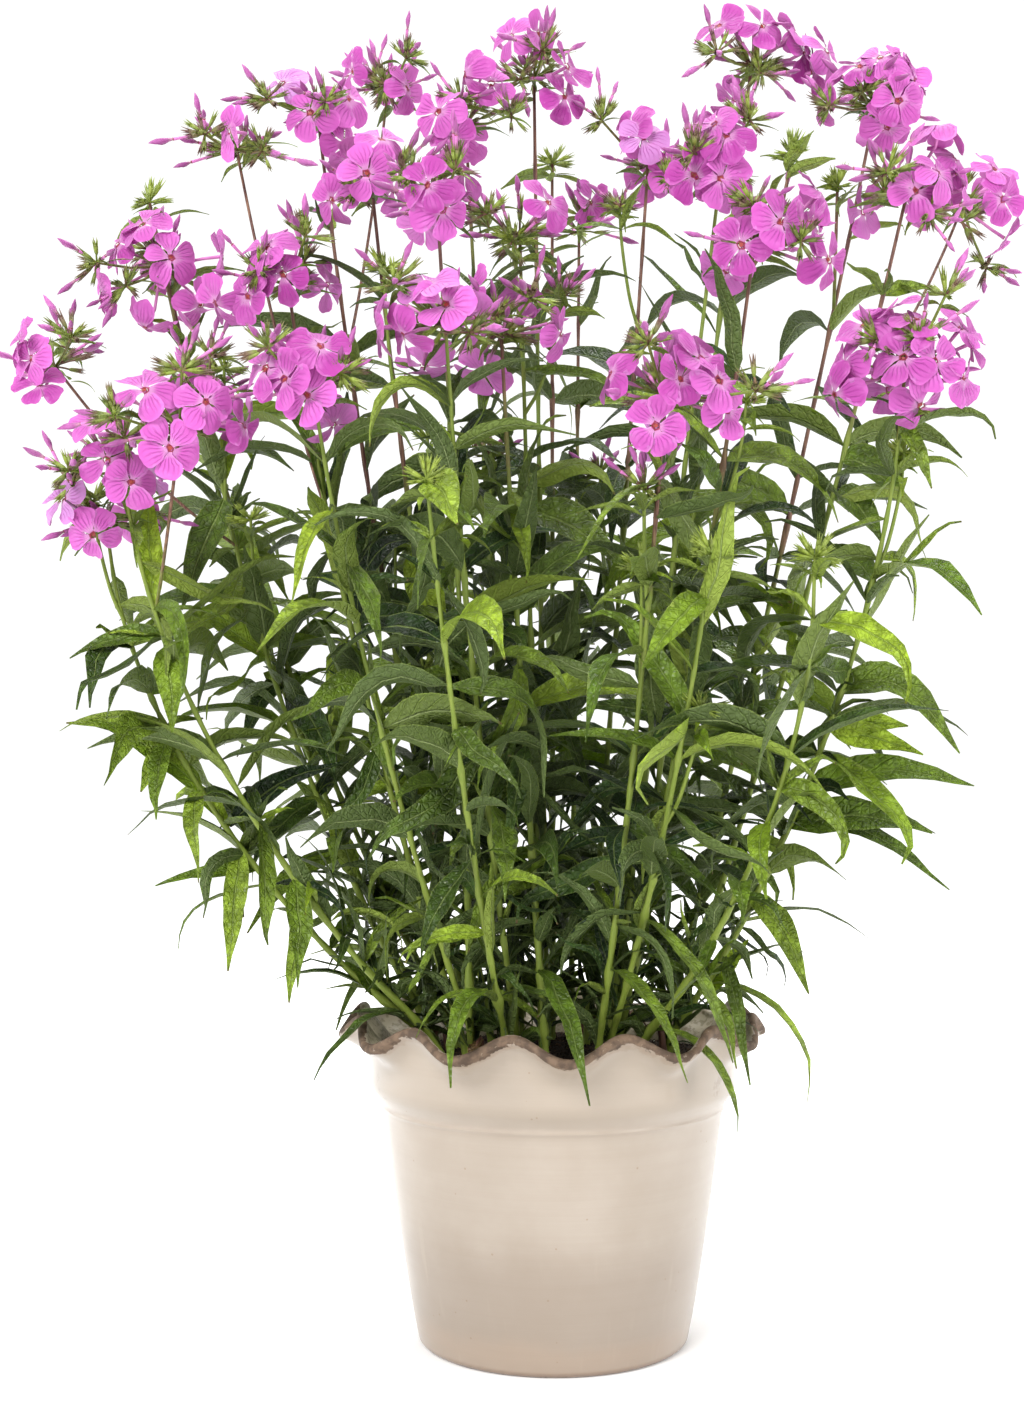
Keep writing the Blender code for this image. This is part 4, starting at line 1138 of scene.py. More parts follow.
def leafShadeAndFreshness(point, rng):  # leaves low in the middle are painted dark as painted shade, and outer and higher ones lighter, partly painted light and partly fresher growth
    (outer, reach), (higher, low, rise) = shadeAndFreshness["out"], shadeAndFreshness["high"]
    out = min(1.0, hypot(point.x, point.y + 0.02) / reach)
    high = clamped((point.z - low) / rise)
    hue = shadeAndFreshness["least"] + outer * out + higher * high + rng.uniform(*shadeAndFreshness["vary"])
    rare, often = shadeAndFreshness["brights"]
    if rng.random() < rare + often * out:
        hue += shadeAndFreshness["bright"]
    return clamped(hue)


def leafPairs(key, path):  # the frame's leaves on this shoot, and where its pairs stand
    corners = [vert.co.copy() for vert in frame["nodes"]["stem_" + key].data.vertices]
    pairs, (first, span) = shoots[key][4], leafStyle["pairs"]
    rng = random.Random("leaves" + key)
    start = rng.uniform(0, fullTurn)
    found, places = [], []
    for shoot, share, degrees, length, rise, droop in hungLeaves:
        if shoot == key:
            share = 0.15 + share * 0.85
            leaf = (pointAlong(path, share), radians(degrees), radians(rise), radians(droop),
                    length, length * leafStyle["aspect"], 0.0)
            found.append((builtAs(corners, leaf) or leaf, share))
    for pair in range(pairs):
        share = first + span * (pair + 0.5 * rng.random()) / pairs
        swell = sin(pi * min(1.0, 0.25 + 0.75 * (1 - share)))
        size = leafStyle["least"] + leafStyle["extra"] * swell
        places.append(share)
        for half in (0, 1):
            azimuth = start + pair * pi / 2 + half * pi + rng.uniform(-0.3, 0.3)
            length = size * rng.uniform(0.85, 1.15)
            rise, droop = anyAngles(rng, (leafStyle["pairRise"], leafStyle["pairDroop"]))
            roll = rng.uniform(-leafStyle["roll"], leafStyle["roll"])
            leaf = (pointAlong(path, share), azimuth, rise, droop, length,
                    length * leafStyle["aspect"], roll)
            built = builtAs(corners, leaf)
            if built:
                found.append((built, share))
    return found, places


def bladeSize(height):  # the longest and widest stand in the middle of the plant
    low, rise = between["swellsFrom"]
    top, fall = between["shrinksTo"]
    middle = clamped((height - low) / rise) * clamped((top - height) / fall, 0.15)
    length, width = [least + more * middle for least, more in (between["size"], between["width"])]
    (highFrom, highSlim), (lowTo, lowSlim) = between["slimHigh"], between["slimLow"]
    return length, width * (highSlim if height > highFrom else lowSlim if height < lowTo else 1.0)


def addLeavesBetween(skeleton, key, path, places):  # each pair crosses the last
    rng = random.Random("between" + key)
    run = sum((b - a).length for a, b in zip(path, path[1:]))
    share, turn, made = between["first"], rng.uniform(0, 6.28), []
    while share < between["last"]:
        here = pointAlong(path, share)
        sparse = here.z > between["sparseFrom"]
        gap = min((abs(share - other) * run for other in places), default=1.0)
        if gap > between["clear"]:
            size, width = bladeSize(here.z)
            for half in (0, 1):
                if sparse and rng.random() < between["missing"]:
                    continue
                azimuth = turn + half * pi + rng.uniform(-0.4, 0.4)
                length = size * rng.uniform(0.7, 1.15)
                rise, droop = anyAngles(rng, between["plain"])
                if rng.random() < between["uprights"][here.z >= between["uprightTo"]]:
                    rise, droop = anyAngles(rng, between["upright"])
                elif rng.random() < between["hangers"]:
                    rise, droop = anyAngles(rng, between["hanging"])
                hue = leafShadeAndFreshness(here + flat(azimuth) * length * 0.6, rng)
                addCurlingLeaf(skeleton, here, azimuth, rise, droop, length,
                               width * rng.uniform(0.65, 1.2) / length, rng, hue)
            if rng.random() < between["tufts"]:  # small leaves in the axil
                for leaf in range(rng.randint(2, 4)):
                    azimuth = turn + rng.uniform(-1.4, 1.4) + pi * (leaf % 2)
                    rise, droop = anyAngles(rng, between["tuft"])
                    length, aspect = [rng.uniform(*between[key]) for key in (
                        "tuftLength", "tuftAspect")]
                    addCurlingLeaf(skeleton, here, azimuth, rise, droop, length, aspect, rng,
                                   leafShadeAndFreshness(here, rng))
            places.append(share)
            made.append(share)
        turn += pi / 2
        pace = between["densePace"] if here.z < between["denseTo"] else 1.0
        pace = between["sparsePace"] if sparse else pace
        share += between["spacing"] * pace * rng.uniform(0.8, 1.2) / run
    return made


# Leaves that stand out: base x and z, tip x and z, arch, width, how far the tip comes forward (mm),
# and freshness, which also paints each leaf's light and shade

drawnLeaves = (
    (-178, 312, -217, 305, 4, 9, 5, 0.35), (-177, 310, -171, 272, 1, 13, 12, 0.75),
    (-160, 242, -209, 277, 5, 12, 6, 0.70), (-173, 268, -185, 244, 1, 11, 12, 0.60),
    (-125, 330, -195, 322, 9, 11, 8, 0.30), (-150, 376, -167, 327, 3, 16, 22, 0.20),
    (-140, 299, -165, 326, 3, 12, 6, 0.55), (-149, 211, -146, 165, 1, 11, 16, 0.60),
    (-134, 206, -178, 202, 3, 8, 8, 0.55), (-98, 213, -138, 182, 8, 11, 20, 0.35),
    (-112, 198, -119, 149, 3, 9, 12, 0.45), (130, 290, 183, 262, 14, 16, 18, 0.35),
    (124, 239, 189, 247, 7, 15, 12, 0.55), (119, 220, 170, 226, 6, 18, 14, 0.35),
    (139, 220, 178, 201, 8, 9, 10, 0.35), (108, 187, 115, 154, 5, 12, 22, 0.45),
    (148, 266, 160, 275, 2, 11, 4, 0.95), (148, 264, 166, 261, 2, 11, 6, 1.0),
    (164, 409, 171, 382, 3, 8, 8, 0.40), (21, 265, -23, 265, 5, 10, 18, 0.30),
    (54, 267, 107, 241, 6, 17, 22, 0.35), (72, 332, 41, 301, 3, 13, 20, 0.75),
    (6, 374, 34, 345, 4, 20, 18, 0.25), (-5, 308, 8, 283, 4, 14, 18, 0.10),
    (-54, 390, -42, 366, 3, 17, 8, 0.70), (-78, 372, -92, 326, 3, 22, 10, 0.15),
    (-62, 352, -50, 300, 2, 17, 4, 0.85), (95, 372, 62, 392, 4, 17, 6, 0.35),
    (120, 377, 148, 357, 6, 16, 10, 0.30), (133, 396, 160, 371, 7, 17, 8, 0.30),
    (81, 172, 88, 113, 5, 7, 32, 0.25), (78, 150, 88, 178, 0, 11, 4, 0.98),
    (-66, 170, -98, 138, 11, 6, 14, 0.25), (-80, 152, -94, 168, 3, 7, 8, 0.45),
)
# Side twigs that carry only buds: head x and z (mm), and whether they are purple
twigs = (
    (-136, 367, 0), (-42, 370, 0), (-71, 363, 0), (91, 304, 0), (-17, 493, 0), (107, 532, 0),
    (128, 517, 0), (158, 397, 0), (87, 420, 0), (-76, 480, 0), (-148, 435, 0), (-207, 375, 0),
    (21, 388, 1), (41, 381, 1), (-28, 396, 1), (4, 468, 1), (30, 508, 1), (-58, 300, 0),
    (66, 282, 0), (40, 345, 0),
)
# Stubs of last year's shoots: x, y, height (mm), and which way they bend (degrees)
stubs = ((48, -30, 21, 200), (-31, -36, 14, 250), (14, 32, 17, 60), (-47, 8, 12, 150),
         (33, 46, 15, 20), (-8, -54, 9, 300))
stub = {"sunk": 0.003, "radii": (0.0022, 0.0009), "leaf": (0.013, 0.010, 0.007)}
twigStyle = {"radii": (0.0009, 0.0007), "nearer": (0.0, 0.015), "bend": (0.25, 0, -0.004),
             "browned": (0.32, 0.5), "count": (13, 18), "size": 0.95, "upward": 0.5,
             "purple": (0.7, 7), "green": (0.1, 0)}  # tone, and how many purple buds
eye = Vector((-0.01845, -0.855, 0.2592))  # where the camera stands


def inView(x, z, y):  # a place marked on the pot's middle plane, moved along the line of sight to y
    share = 1 - y / eye.y
    return Vector((eye.x + (x - eye.x) * share, y, eye.z + (z - eye.z) * share))


def nearestShoot(x, z):  # the shoot nearest to a place as seen from the front, and where it passes
    best = None
    for key, path in paths.items():
        for step in range(81):
            point = pointAlong(path, step / 80)
            gap = (inView(x, z, point.y) - point).length + max(0.0, point.y + 0.02) * 0.12
            if best is None or gap < best[0]:
                best = (gap, key, point)
    return best[1], best[2]


# Calyces, buds and green heads

bract = {"turn": 0.4, "back": (0.001, 0.006), "angles": ((-5, 45), (20, 80)),
         "length": (0.6, 1.2), "aspect": (0.14, 0.24), "roll": 0.8, "fresher": 0.25}
greenHead = {"widest": 100, "reach": (0.0012, 0.0045), "size": (0.6, 1.05), "hue": (0.2, 0.8),
             "purpleWidest": 60, "purpleSize": 0.8, "purpleTone": 0.7, "tube": (0.0, 0.006)}


def randomWay(rng, axis, widest):
    side = axis.orthogonal().normalized()
    other = axis.cross(side)
    tilt, turn = widest * sqrt(rng.random()), rng.uniform(0, fullTurn)
    return axis * cos(tilt) + (side * cos(turn) + other * sin(turn)) * sin(tilt)


def stray(rng, way, most):
    return (way + Vector([rng.uniform(-most, most) for part in range(3)])).normalized()


def addCalyx(skeleton, hub, axis, way, reach, size, rng, tone, hue):  # on a pedicel of its own
    foot = hub + way * reach
    middle = hub.lerp(foot, 0.5) + axis * (foot - hub).length * calyx["arch"]
    thin = calyx["pedicel"]
    skeleton.line(stalkKind, [hub, hub.lerp(middle, 0.6), middle.lerp(foot, 0.5), foot],
                  tapered(4, thin * 1.15, thin), tone=tone, hue=hue)
    tone = min(1.0, tone * rng.uniform(*calyx["toneVary"]))
    skeleton.spot(calyxKind, foot - way * calyx["overlap"], way, size, tone=tone, hue=hue,
                  spin=rng.uniform(0, 6.28))
    return foot


def addBud(skeleton, hub, axis, way, reach, size, rng, tone, tube):
    foot = addCalyx(skeleton, hub, axis, way, reach, size, rng, tone, rng.uniform(*bud["hue"]))
    start = foot + way * calyx["cup"] * size * bud["seat"]
    shade = rng.random()
    if tube > bud["tubeFrom"]:
        way = stray(rng, way, bud["stray"])
        end = start + way * tube
        skeleton.line(tubeKind, [start, start.lerp(end, 0.5), end + way * bud["tubeIn"]],
                      bud["tube"], tone=0.3)
        start = end
    skeleton.spot(budKind, start, way, size * rng.uniform(*bud["sizeVary"]), tone=shade,
                  spin=rng.uniform(0, 6.28))


# Many calyces or buds; the ranges are reach, size, tone, and a calyx's hue or a bud's tube
def addMany(add, skeleton, hub, axis, outward, rng, count, widest, *ranges):
    for index in range(count):
        way = randomWay(rng, outward, radians(widest))
        reach, size, tone, last = [rng.uniform(*limits) for limits in ranges]
        add(skeleton, hub, axis, way, reach, size, rng, tone, last)


def addBracts(skeleton, hub, axis, count, length, rng, hue):
    for index in range(count):
        turn = index * golden + rng.uniform(-bract["turn"], bract["turn"])
        base = hub - axis * rng.uniform(*bract["back"])
        rise, droop = anyAngles(rng, bract["angles"])
        leaf = (base, turn, rise, droop, length * rng.uniform(*bract["length"]),
                length * rng.uniform(*bract["aspect"]), rng.uniform(-bract["roll"], bract["roll"]))
        addLeaf(skeleton, leaf, rng, min(1.0, hue + rng.uniform(0, bract["fresher"])))


def addGreenHead(skeleton, hub, axis, rng, count=20, size=1.0, tone=0.1, purple=0):
    for index in range(count):
        way = randomWay(rng, axis, radians(greenHead["widest"]))
        reach = rng.uniform(*greenHead["reach"])
        if index < purple:
            way = randomWay(rng, axis, radians(greenHead["purpleWidest"]))
            addBud(skeleton, hub, axis, way, reach, size * greenHead["purpleSize"], rng,
                   greenHead["purpleTone"], rng.uniform(*greenHead["tube"]))
        else:
            addCalyx(skeleton, hub, axis, way, reach, size * rng.uniform(*greenHead["size"]), rng,
                     tone, rng.uniform(*greenHead["hue"]))
    addBracts(skeleton, hub, axis, 5, 0.012, rng, 0.6)
    addBracts(skeleton, hub - axis * 0.005, axis, 3, 0.028, rng, 0.5)


# Flowers

flowerStyle = {
    "radius": 0.0127, "throat": 0.0009, "calyxFrom": 0.0050, "near": 0.0225, "far": 0.0275,
    "outline": ((0.0, 0.07), (0.14, 0.115), (0.34, 0.27), (0.55, 0.415), (0.74, 0.46),
                (0.88, 0.395), (0.965, 0.24), (1.0, 0.07)),
    "tube": (0.00065, 0.0007, 0.00075, 0.00085, 0.00095), "bend": 0.3, "stray": 0.28,
    "size": (0.9, 1.03), "petalSize": (0.92, 1.04), "spread": 0.12, "cup": (-0.08, 0.30),
    "lift": 0.20, "curl": (0.08, 0.55), "fold": (-0.25, 0.35), "twist": 0.16, "turn": 0.25,
    "nod": (-0.45, 0.25), "raised": 0.1, "sideRaised": 0.15, "pedicel": (0.6, 1.5),
    "calyxSize": 0.95, "calyxTone": (0.3, 0.9), "calyxHue": (0.2, 0.6), "tubeFrom": 0.002,
    "behind": 2, "tries": 24, "backWay": (0, 0.97, 0.22), "backWidest": 50, "backLimit": 0.158,
}
headStyle = {  # counts and widest angles (degrees), then the ranges as addMany takes them
    "outward": 4.0, "upward": 0.75, "middleY": 0.10, "stalk": (0.97, 0.0009, 0.0011),
    "buds": (6, 95, (0.003, 0.009), (0.8, 1.05), (0.3, 0.9), (0.0, 0.013)),
    "calyces": (10, 115, (0.002, 0.010), (0.75, 1.05), (0.3, 1.0), (0.1, 0.6)),
}
cluster = {
    "stalk": (0.0007, 0.0006, 0.0006), "sag": 0.0015, "side": (10, 3), "reach": (14, 23),
    "behind": (7, 4), "back": 14, "behindTo": 0.1,
    "calyces": (95, (0.0015, 0.0055), (0.7, 1.0), (0.2, 0.95), (0.1, 0.6)),
    "buds": (70, (0.002, 0.005), (0.75, 1.05), (0.3, 0.9), (0.0, 0.011)),
}
# Where the flowers in front stand: x and z from their head's centre (mm), and for some, which way
# they look (degrees from the front)
frontFlowers = {
    "01": ((0, -9), (-13, 6)), "02": ((-1, 1), (-7, 17), (9, -8)),
    "02b": ((0, -11), (-10, 12), (14, 7), (27, 0)), "03": ((17, -13), (5, -4)),
    "01b": ((-11, 8, -55), (-5, -1, -35), (-2, -12, 10)),
    "04": ((5, 14), (0, -5), (-17, 6), (-9, 1)),
    "05": ((-6, 15), (-20, 8), (8, -1), (-27, -14), (-6, -32), (20, -21), (30, 2)),
    "06": ((-6, 10), (1, -2), (-15, -10), (-30, -11)), "06b": ((1, 0, -62),),
    "08": ((-14, 9), (13, -16), (-1, -7), (16, 2)), "08b": ((-16, 3, -60), (11, -6, 65)),
    "10": ((6, 13), (0, -4), (-16, -12)), "11": ((-3, 1), (3, -8)),
    "12": ((-5, -14), (-12, -2), (12, 12), (0, 15, -70)),
    "13": ((-11, 13, -40), (2, 14, 68), (15, -2, 50), (14, -14, 35)), "14": ((25, -2), (-13, 15)),
    "15": ((1, 2), (-6, 10), (-16, -8), (-26, -4)), "17": ((12, 8),), "18": ((5, 9, 40),),
    "19": ((-22, 7), (4, 3), (-5, -14), (12, 11), (19, 3), (23, -7)),
    "20": ((-4, 6), (-9, 11, -60), (10, -8)), "21": ((-5, 11), (-1, 4), (-14, -11), (-3, -13)),
    "22": ((-8, -5), (7, 3), (25, 19), (25, 2), (29, -8)),
    "23": ((-17, 13), (2, 10), (18, 10), (23, 3), (33, 3), (27, -6)),
    "24": ((-11, 12), (-2, 15), (9, 10), (14, 5), (5, -6), (2, -15), (-25, 1)),
    "25": ((-1, -5), (8, 2), (23, 0), (12, 26), (19, 13)), "25b": ((11, 13), (13, -3), (18, -17)),
    "26": ((-19, 17), (-8, 23), (0, 17), (-31, -12), (-27, 0), (-6, 0), (6, -2), (3, -17),
           (20, 15), (20, -6), (24, 9)),
}
fewBehind = {"01": 1, "01b": 0, "02": 1, "02b": 2, "03": 1, "05": 1, "06b": 0, "08": 1, "08b": 1,
             "10": 2, "12": 1, "13": 0, "17": 0, "18": 0, "20": 1, "23": 1, "24": 1}
# Side clusters of calyces and buds between the flowers: x and z from the head's centre (mm)
sideClusters = {
    "01": ((-10, 12),), "01b": ((12, 9),), "02": ((-18, -2), (6, 10)), "02b": ((4, 20), (-22, 2)),
    "03": ((5, 14),), "04": ((-15, 13), (12, 4)), "05": ((-14, -13), (-26, -4)),
    "06": ((10, 15), (-10, 1)), "06b": ((-11, 1), (14, -6)), "08": ((6, -1), (-20, 0)),
    "08b": ((10, 10), (0, -4)), "10": ((-6, -8), (14, 0)), "11": ((-10, 6), (8, 8)),
    "12": ((21, -3), (-2, 6)), "13": ((-7, -7), (4, 6)), "14": ((-2, 3), (12, 10)),
    "15": ((-19, 11), (10, -8)), "17": ((-3, -7), (-14, 4)), "18": ((0, 4), (14, 6)),
    "19": ((-8, 16), (32, -2)), "20": ((-23, 15), (8, -13)), "21": ((-14, -2), (10, 14)),
    "22": ((16, -3), (-2, 12)), "23": ((2, -8), (-18, -2)), "24": ((-24, -6), (-9, 1)),
    "25": ((-13, 2), (6, -13)), "25b": ((-5, -13), (6, -34)), "26": ((1, 8), (-14, 9), (12, 26)),
}


def headAxis(hub):
    away = Vector((hub.x, hub.y - headStyle["middleY"], 0.0)) * headStyle["outward"]
    return (away + up * headStyle["upward"]).normalized()


def addCluster(skeleton, hub, offset, rng, calyces, buds):  # a short branch that ends in them
    way, end = offset.normalized(), hub + offset
    skeleton.line(stalkKind, [hub, hub.lerp(end, 0.5) - up * cluster["sag"], end],
                  cluster["stalk"], tone=rng.uniform(0.2, 0.6), hue=0.4)
    outward = (way + Vector((0, -0.2, 0.5))).normalized()
    addMany(addCalyx, skeleton, end, outward, outward, rng, calyces, *cluster["calyces"])
    addMany(addBud, skeleton, end, outward, outward, rng, buds, *cluster["buds"])
    addBracts(skeleton, end, way, 2, 0.015, rng, 0.45)


def facesOf(key, hub, rng):  # each flower's place from the head's centre, and which way it looks
    faces = []
    near, far = flowerStyle["near"], flowerStyle["far"]
    for x, z, *look in frontFlowers[key]:
        side = hypot(x, z) * mm
        reach = max(rng.uniform(near, far), side * 1.06)
        offset = Vector((x * mm, -sqrt(reach ** 2 - side ** 2), z * mm))
        nod = rng.uniform(*flowerStyle["nod"])
        facing = offset.normalized() + Vector((0, nod, flowerStyle["raised"]))
        if look:
            turn = radians(look[0])
            facing = Vector((sin(turn), -cos(turn), flowerStyle["sideRaised"]))
        faces.append((offset, facing.normalized()))
    taken = [offset.normalized() for offset, facing in faces]
    back, widest = Vector(flowerStyle["backWay"]), radians(flowerStyle["backWidest"])
    for count in range(fewBehind.get(key, flowerStyle["behind"])):
        tries = [randomWay(rng, back, widest) for step in range(flowerStyle["tries"])]
        way = max(tries, key=lambda tried: min(tried.angle(other) for other in taken))
        offset = way * rng.uniform(near, far)
        offset.y = min(offset.y, flowerStyle["backLimit"] - hub.y)
        taken.append(way)
        faces.append((offset, way))
    return faces


def addFlower(skeleton, hub, axis, offset, facing, rng, tone, size):
    way, reach = offset.normalized(), offset.length
    pedicel, calyxTone, calyxHue = [rng.uniform(*flowerStyle[key]) for key in (
        "pedicel", "calyxTone", "calyxHue")]
    foot = addCalyx(skeleton, hub, axis, way, flowerStyle["calyxFrom"] * pedicel,
                    flowerStyle["calyxSize"], rng, calyxTone, calyxHue)
    facing = stray(rng, facing, flowerStyle["stray"])
    face = hub + offset
    bend = face - facing * reach * flowerStyle["bend"]
    tube = [foot + way * flowerStyle["tubeFrom"], foot.lerp(bend, 0.5), bend,
            face - facing * 0.0012, face - facing * 0.0003]
    skeleton.line(tubeKind, tube, flowerStyle["tube"], tone=tone)
    side = facing.orthogonal().normalized()
    other = facing.cross(side)
    start = rng.uniform(0, fullTurn)
    cup, curl = rng.uniform(*flowerStyle["cup"]), rng.uniform(*flowerStyle["curl"])
    spread, most, turn = [flowerStyle[key] for key in ("spread", "lift", "turn")]
    for petal in range(5):
        angle = start + petal * fullTurn / 5 + rng.uniform(-spread, spread)
        outward = side * cos(angle) + other * sin(angle)
        radius = flowerStyle["radius"] * size * rng.uniform(*flowerStyle["petalSize"])
        lift, fold = cup + rng.uniform(-most, most), curl + rng.uniform(*flowerStyle["fold"])
        twist = flowerStyle["twist"] + rng.uniform(-turn, turn)
        points, widths = [], []
        for share, wide in flowerStyle["outline"]:
            run = flowerStyle["throat"] + (radius - flowerStyle["throat"]) * share
            rise = lift * share - fold * share ** 2
            points.append(face + outward * run + facing * radius * rise)
            widths.append(wide * radius)
        facings = []
        for index in range(len(points)):
            tangent = tangentAt(points, index)
            facings.append(Quaternion(tangent, twist) @ facing.cross(tangent).normalized())
        skeleton.line(petalKind, points, widths, facings, tone=tone)


# Build every shoot and every head

heads = {key: (Vector((x, y, z)) * mm, paths[key])
         for key, (x, y, z, lean, pairs, carries) in shoots.items() if carries == "flowers"}
for key, (parent, fork, place) in branches.items():
    heads[key] = (Vector(place) * mm, branchPath(paths[parent], fork, Vector(place) * mm))
cutBack = growth["hubDepth"] / 2 + growth["gap"]
ways = {}
for key, (hub, path) in heads.items():
    ways[key] = (path[-1] - path[-2]).normalized()
    path[-1] = path[-1] - ways[key] * cutBack
hung = {key: [] for key in shoots}  # what was listed, under the shoot that it grows on
for row in drawnLeaves:
    owner, base = nearestShoot(row[0] * mm, row[1] * mm)
    hung[owner].append(("leaf", base, row))
for row in twigs:
    owner, base = nearestShoot(row[0] * mm * 0.93, row[1] * mm - 0.055)
    hung[owner].append(("twig", base, row))


def addStalk(skeleton, path, start, end, joints, rng, brown):
    points = smoothThrough(path, growth["smoothing"])
    widths = tapered(len(points), start, end)
    run, vary = len(points) - 1, growth["toneVary"]
    for joint in joints:
        widths[min(run, max(0, round(joint * run)))] *= growth["joint"]
    tones = [clamped((point.z - brown) / growth["brown"] + rng.uniform(-vary, vary))
             for point in points]
    lowest, ground, fade = growth["hue"]
    hues = [clamped(lowest - (point.z - ground) * fade) for point in points]
    skeleton.line(stalkKind, points, widths, tone=tones, hue=hues)


def addHung(skeleton, rng, what, base, row):
    if what == "leaf":
        x, z, tipX, tipZ, arch, width, forward, hue = row
        tip = inView(tipX * mm, tipZ * mm, base.y - forward * mm)
        wish = Vector((0.0, -0.8, 0.6)) if arch > 2 else Vector((0.0, -1.0, 0.15))
        addDrawnLeaf(skeleton, base, tip, arch * mm, width * mm, wish, rng, hue)
        return
    x, z, purple = row
    hub = inView(x * mm, z * mm, base.y - rng.uniform(*twigStyle["nearer"]))
    sideways, level, drop = twigStyle["bend"]
    middle = (base + hub) / 2 + Vector(((hub.x - base.x) * sideways, level, drop))
    twig = [base, base.lerp(middle, 0.6), middle.lerp(hub, 0.45), hub]
    addStalk(skeleton, twig, *twigStyle["radii"], [], rng, rng.uniform(*twigStyle["browned"]))
    way = ((twig[-1] - twig[-2]).normalized() + up * twigStyle["upward"]).normalized()
    addGreenHead(skeleton, hub, way, rng, rng.randint(*twigStyle["count"]), twigStyle["size"],
                 *twigStyle["purple" if purple else "green"])


def addStubs(skeleton, rng):  # each ends in a withered leaf
    long, fall, wide = stub["leaf"]
    for x, y, height, bend in stubs:
        foot = Vector((x * mm, y * mm, soilHeight(x * mm, y * mm) - stub["sunk"]))
        way, top = flat(radians(bend)), foot + up * (height * mm)
        points = [foot, foot.lerp(top, 0.5) + way * 0.001, top + way * 0.003,
                  top + way * 0.009 - up * 0.003]
        skeleton.line(stalkKind, smoothThrough(points, 4), tapered(13, *stub["radii"]),
                      tone=1.0, hue=0.0)
        leaf = [points[-2] + way * long * step / 4 - up * fall * (step / 4) ** 2
                for step in range(5)]
        addBlade(skeleton, leaf, [Vector((-way.y, way.x, 0.3))] * 5, wide, rng, -1.0)


def growShoot(key):
    skeleton = Skeleton("shoot" + key)
    rng = random.Random("shoot" + key)
    path, stem, tip = paths[key], growth["stemRadius"], growth["tipRadius"]
    leaves, places = leafPairs(key, path)
    for leaf, share in leaves:
        middle = leafFrame(*leaf[:5], 0.5)[0]
        hue = leafShadeAndFreshness(middle, rng)
        if leaf[0].z < leafStyle["lowEnd"]:
            leaf = (*leaf[:5], leaf[5] * leafStyle["lowSlim"], leaf[6])
            # low leaves hanging outside the collar are painted lighter: painted light
            if hypot(middle.x, middle.y) > pot["collarRadius"]:
                hue = max(hue, rng.uniform(*leafStyle["lowOuterLit"]))
        addLeaf(skeleton, leaf, rng, hue)
    joints = [share for leaf, share in leaves] + addLeavesBetween(skeleton, key, path, places)
    addStalk(skeleton, path, stem, tip, joints, rng, rng.uniform(*growth["browned"]))
    for branch, (parent, fork, place) in branches.items():
        if parent == key:
            addStalk(skeleton, heads[branch][1], tip, tip * 0.9, [], rng, growth["branchBrowned"])
            addBracts(skeleton, heads[branch][1][0], up, 2, 0.030, rng, 0.4)
    for what, base, row in hung[key]:
        addHung(skeleton, rng, what, base, row)
    if key == "28":
        addStubs(skeleton, rng)
    if shoots[key][5] == "buds":
        addGreenHead(skeleton, path[-1], (path[-1] - path[-2]).normalized(), rng)
    made = skeleton.dressed()
    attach(made, "root")
    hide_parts("stem_" + key)
    return made


def growHead(key):
    skeleton = Skeleton("flowerHead" + key)
    rng = random.Random("bloom" + key)
    hub, path = heads[key]
    axis = headAxis(hub)
    stalk = [path[-1] - ways[key] * 0.001, path[-1].lerp(hub, 0.5), hub]
    first, *widths = headStyle["stalk"]
    skeleton.line(stalkKind, stalk, [growth["tipRadius"] * first, *widths], tone=0.7, hue=0.3)
    for offset, facing in facesOf(key, hub, rng):
        addFlower(skeleton, hub, axis, offset, facing, rng, rng.random(),
                  rng.uniform(*flowerStyle["size"]))
    for x, z in sideClusters[key]:
        offset = Vector((x, -rng.uniform(*cluster["reach"]), z)) * mm
        addCluster(skeleton, hub, offset, rng, *cluster["side"])
    back = cluster["back"]
    behind = Vector((rng.uniform(-back, back), back, rng.uniform(2, back))) * mm
    if hub.y < cluster["behindTo"]:
        addCluster(skeleton, hub, behind, rng, *cluster["behind"])
    upward = (axis * 0.7 + up * 0.9).normalized()
    addMany(addBud, skeleton, hub, axis, upward, rng, *headStyle["buds"])
    addMany(addCalyx, skeleton, hub, axis, upward, rng, *headStyle["calyces"])
    addBracts(skeleton, hub - axis * 0.003, axis, 3, 0.022, rng, 0.35)
    made = skeleton.dressed()
    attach(made, "root")
    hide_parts("flower_head_" + key)
    return made


faces = sum(len(growShoot(key).data.polygons) for key in shoots)
print("shoots dressed,", faces, "faces")
faces = sum(len(growHead(key).data.polygons) for key in heads)
print("heads dressed,", faces, "faces")
for label in ("Leaf section", "Petal section", "Calyx", "Bud"):
    bpy.data.objects.remove(dressing[label], do_unlink=True)


# Floor, light and camera

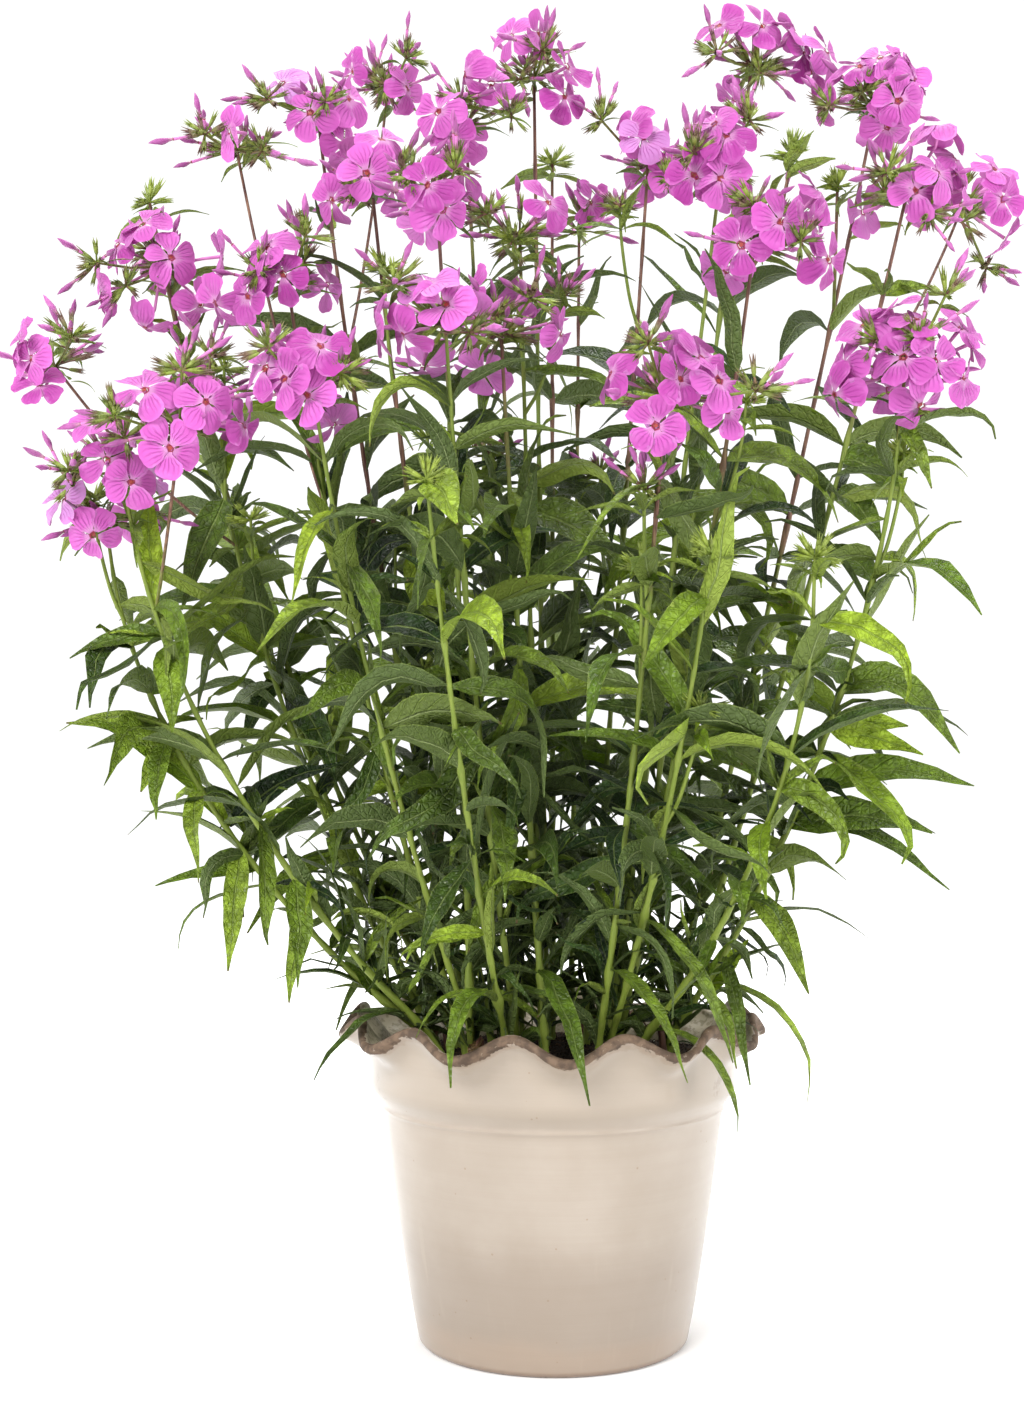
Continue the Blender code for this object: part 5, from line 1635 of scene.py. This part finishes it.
studio = {
    "floor": 0.9, "glow": 0.9, "near": 0.12, "brightens": (0.25, 1.1), "backdrop": 1.1,
    "around": 0.30, "target": (0, 0, 0.3),
    "lights": {  # place, size, power
        "keyLight": ((-0.9, -1.6, 1.5), 1.3, 57.0), "fillLight": ((1.5, -1.0, 0.9), 1.2, 20.0),
        "topLight": ((0.1, 0.5, 2.0), 1.5, 41.0), "leftLight": ((-1.3, 0.6, 0.5), 0.9, 5.0),
        "rightLight": ((1.3, 0.6, 0.5), 0.9, 5.0)},
}
view = {"lens": 48.61407, "shiftUp": 0.0402}


def makeFloor():
    bm = bmesh.new()
    bmesh.ops.create_grid(bm, x_segments=1, y_segments=1, size=12.0)
    mesh = meshFrom("floor", bm)
    f = Finish("paleFloor", {
        "Roughness": 0.7, "Base Color": (studio["floor"],) * 3, "Specular IOR Level": 0.2,
        "Emission Strength": studio["glow"]})
    away = f.length(f.place).ease(*studio["brightens"])
    f.feed(light=f.mix(away, (studio["near"],) * 3, (1.0, 1.0, 1.0)))
    mesh.materials.append(f.material)
    made = linked("floor", mesh)


def areaLight(name, place, size, power):
    data = bpy.data.lights.new(name, "AREA")
    data.shape = "DISK"
    data.size, data.energy = size, power
    lamp = linked(name, data)
    lamp.location = place
    way = Vector(studio["target"]) - Vector(place)
    lamp.rotation_euler = way.to_track_quat("-Z", "Y").to_euler()
    lamp.visible_camera = False


makeFloor()
for name, (place, size, power) in studio["lights"].items():
    areaLight(name, place, size, power)
world = bpy.data.worlds.new("studio")
bpy.context.scene.world = world
world.use_nodes = True
air, background = Graph(world.node_tree), world.node_tree.nodes["Background"]
seen = air.add("ShaderNodeLightPath", out="Is Camera Ray")  # white behind, softer round the plant
air.plug(background.inputs["Color"], (1.0, 1.0, 1.0))
air.plug(background.inputs["Strength"],
         seen * (studio["backdrop"] - studio["around"]) + studio["around"])
bpy.context.scene.view_settings.view_transform = "Standard"

cameraData = bpy.data.cameras.new("camera")
cameraData.lens = view["lens"]
cameraData.shift_y = view["shiftUp"]
cameraData.clip_start = 0.01
camera = linked("camera", cameraData)
camera.location = eye
camera.rotation_euler = (pi / 2, 0, 0)
bpy.context.scene.camera = camera
print("studio lit")
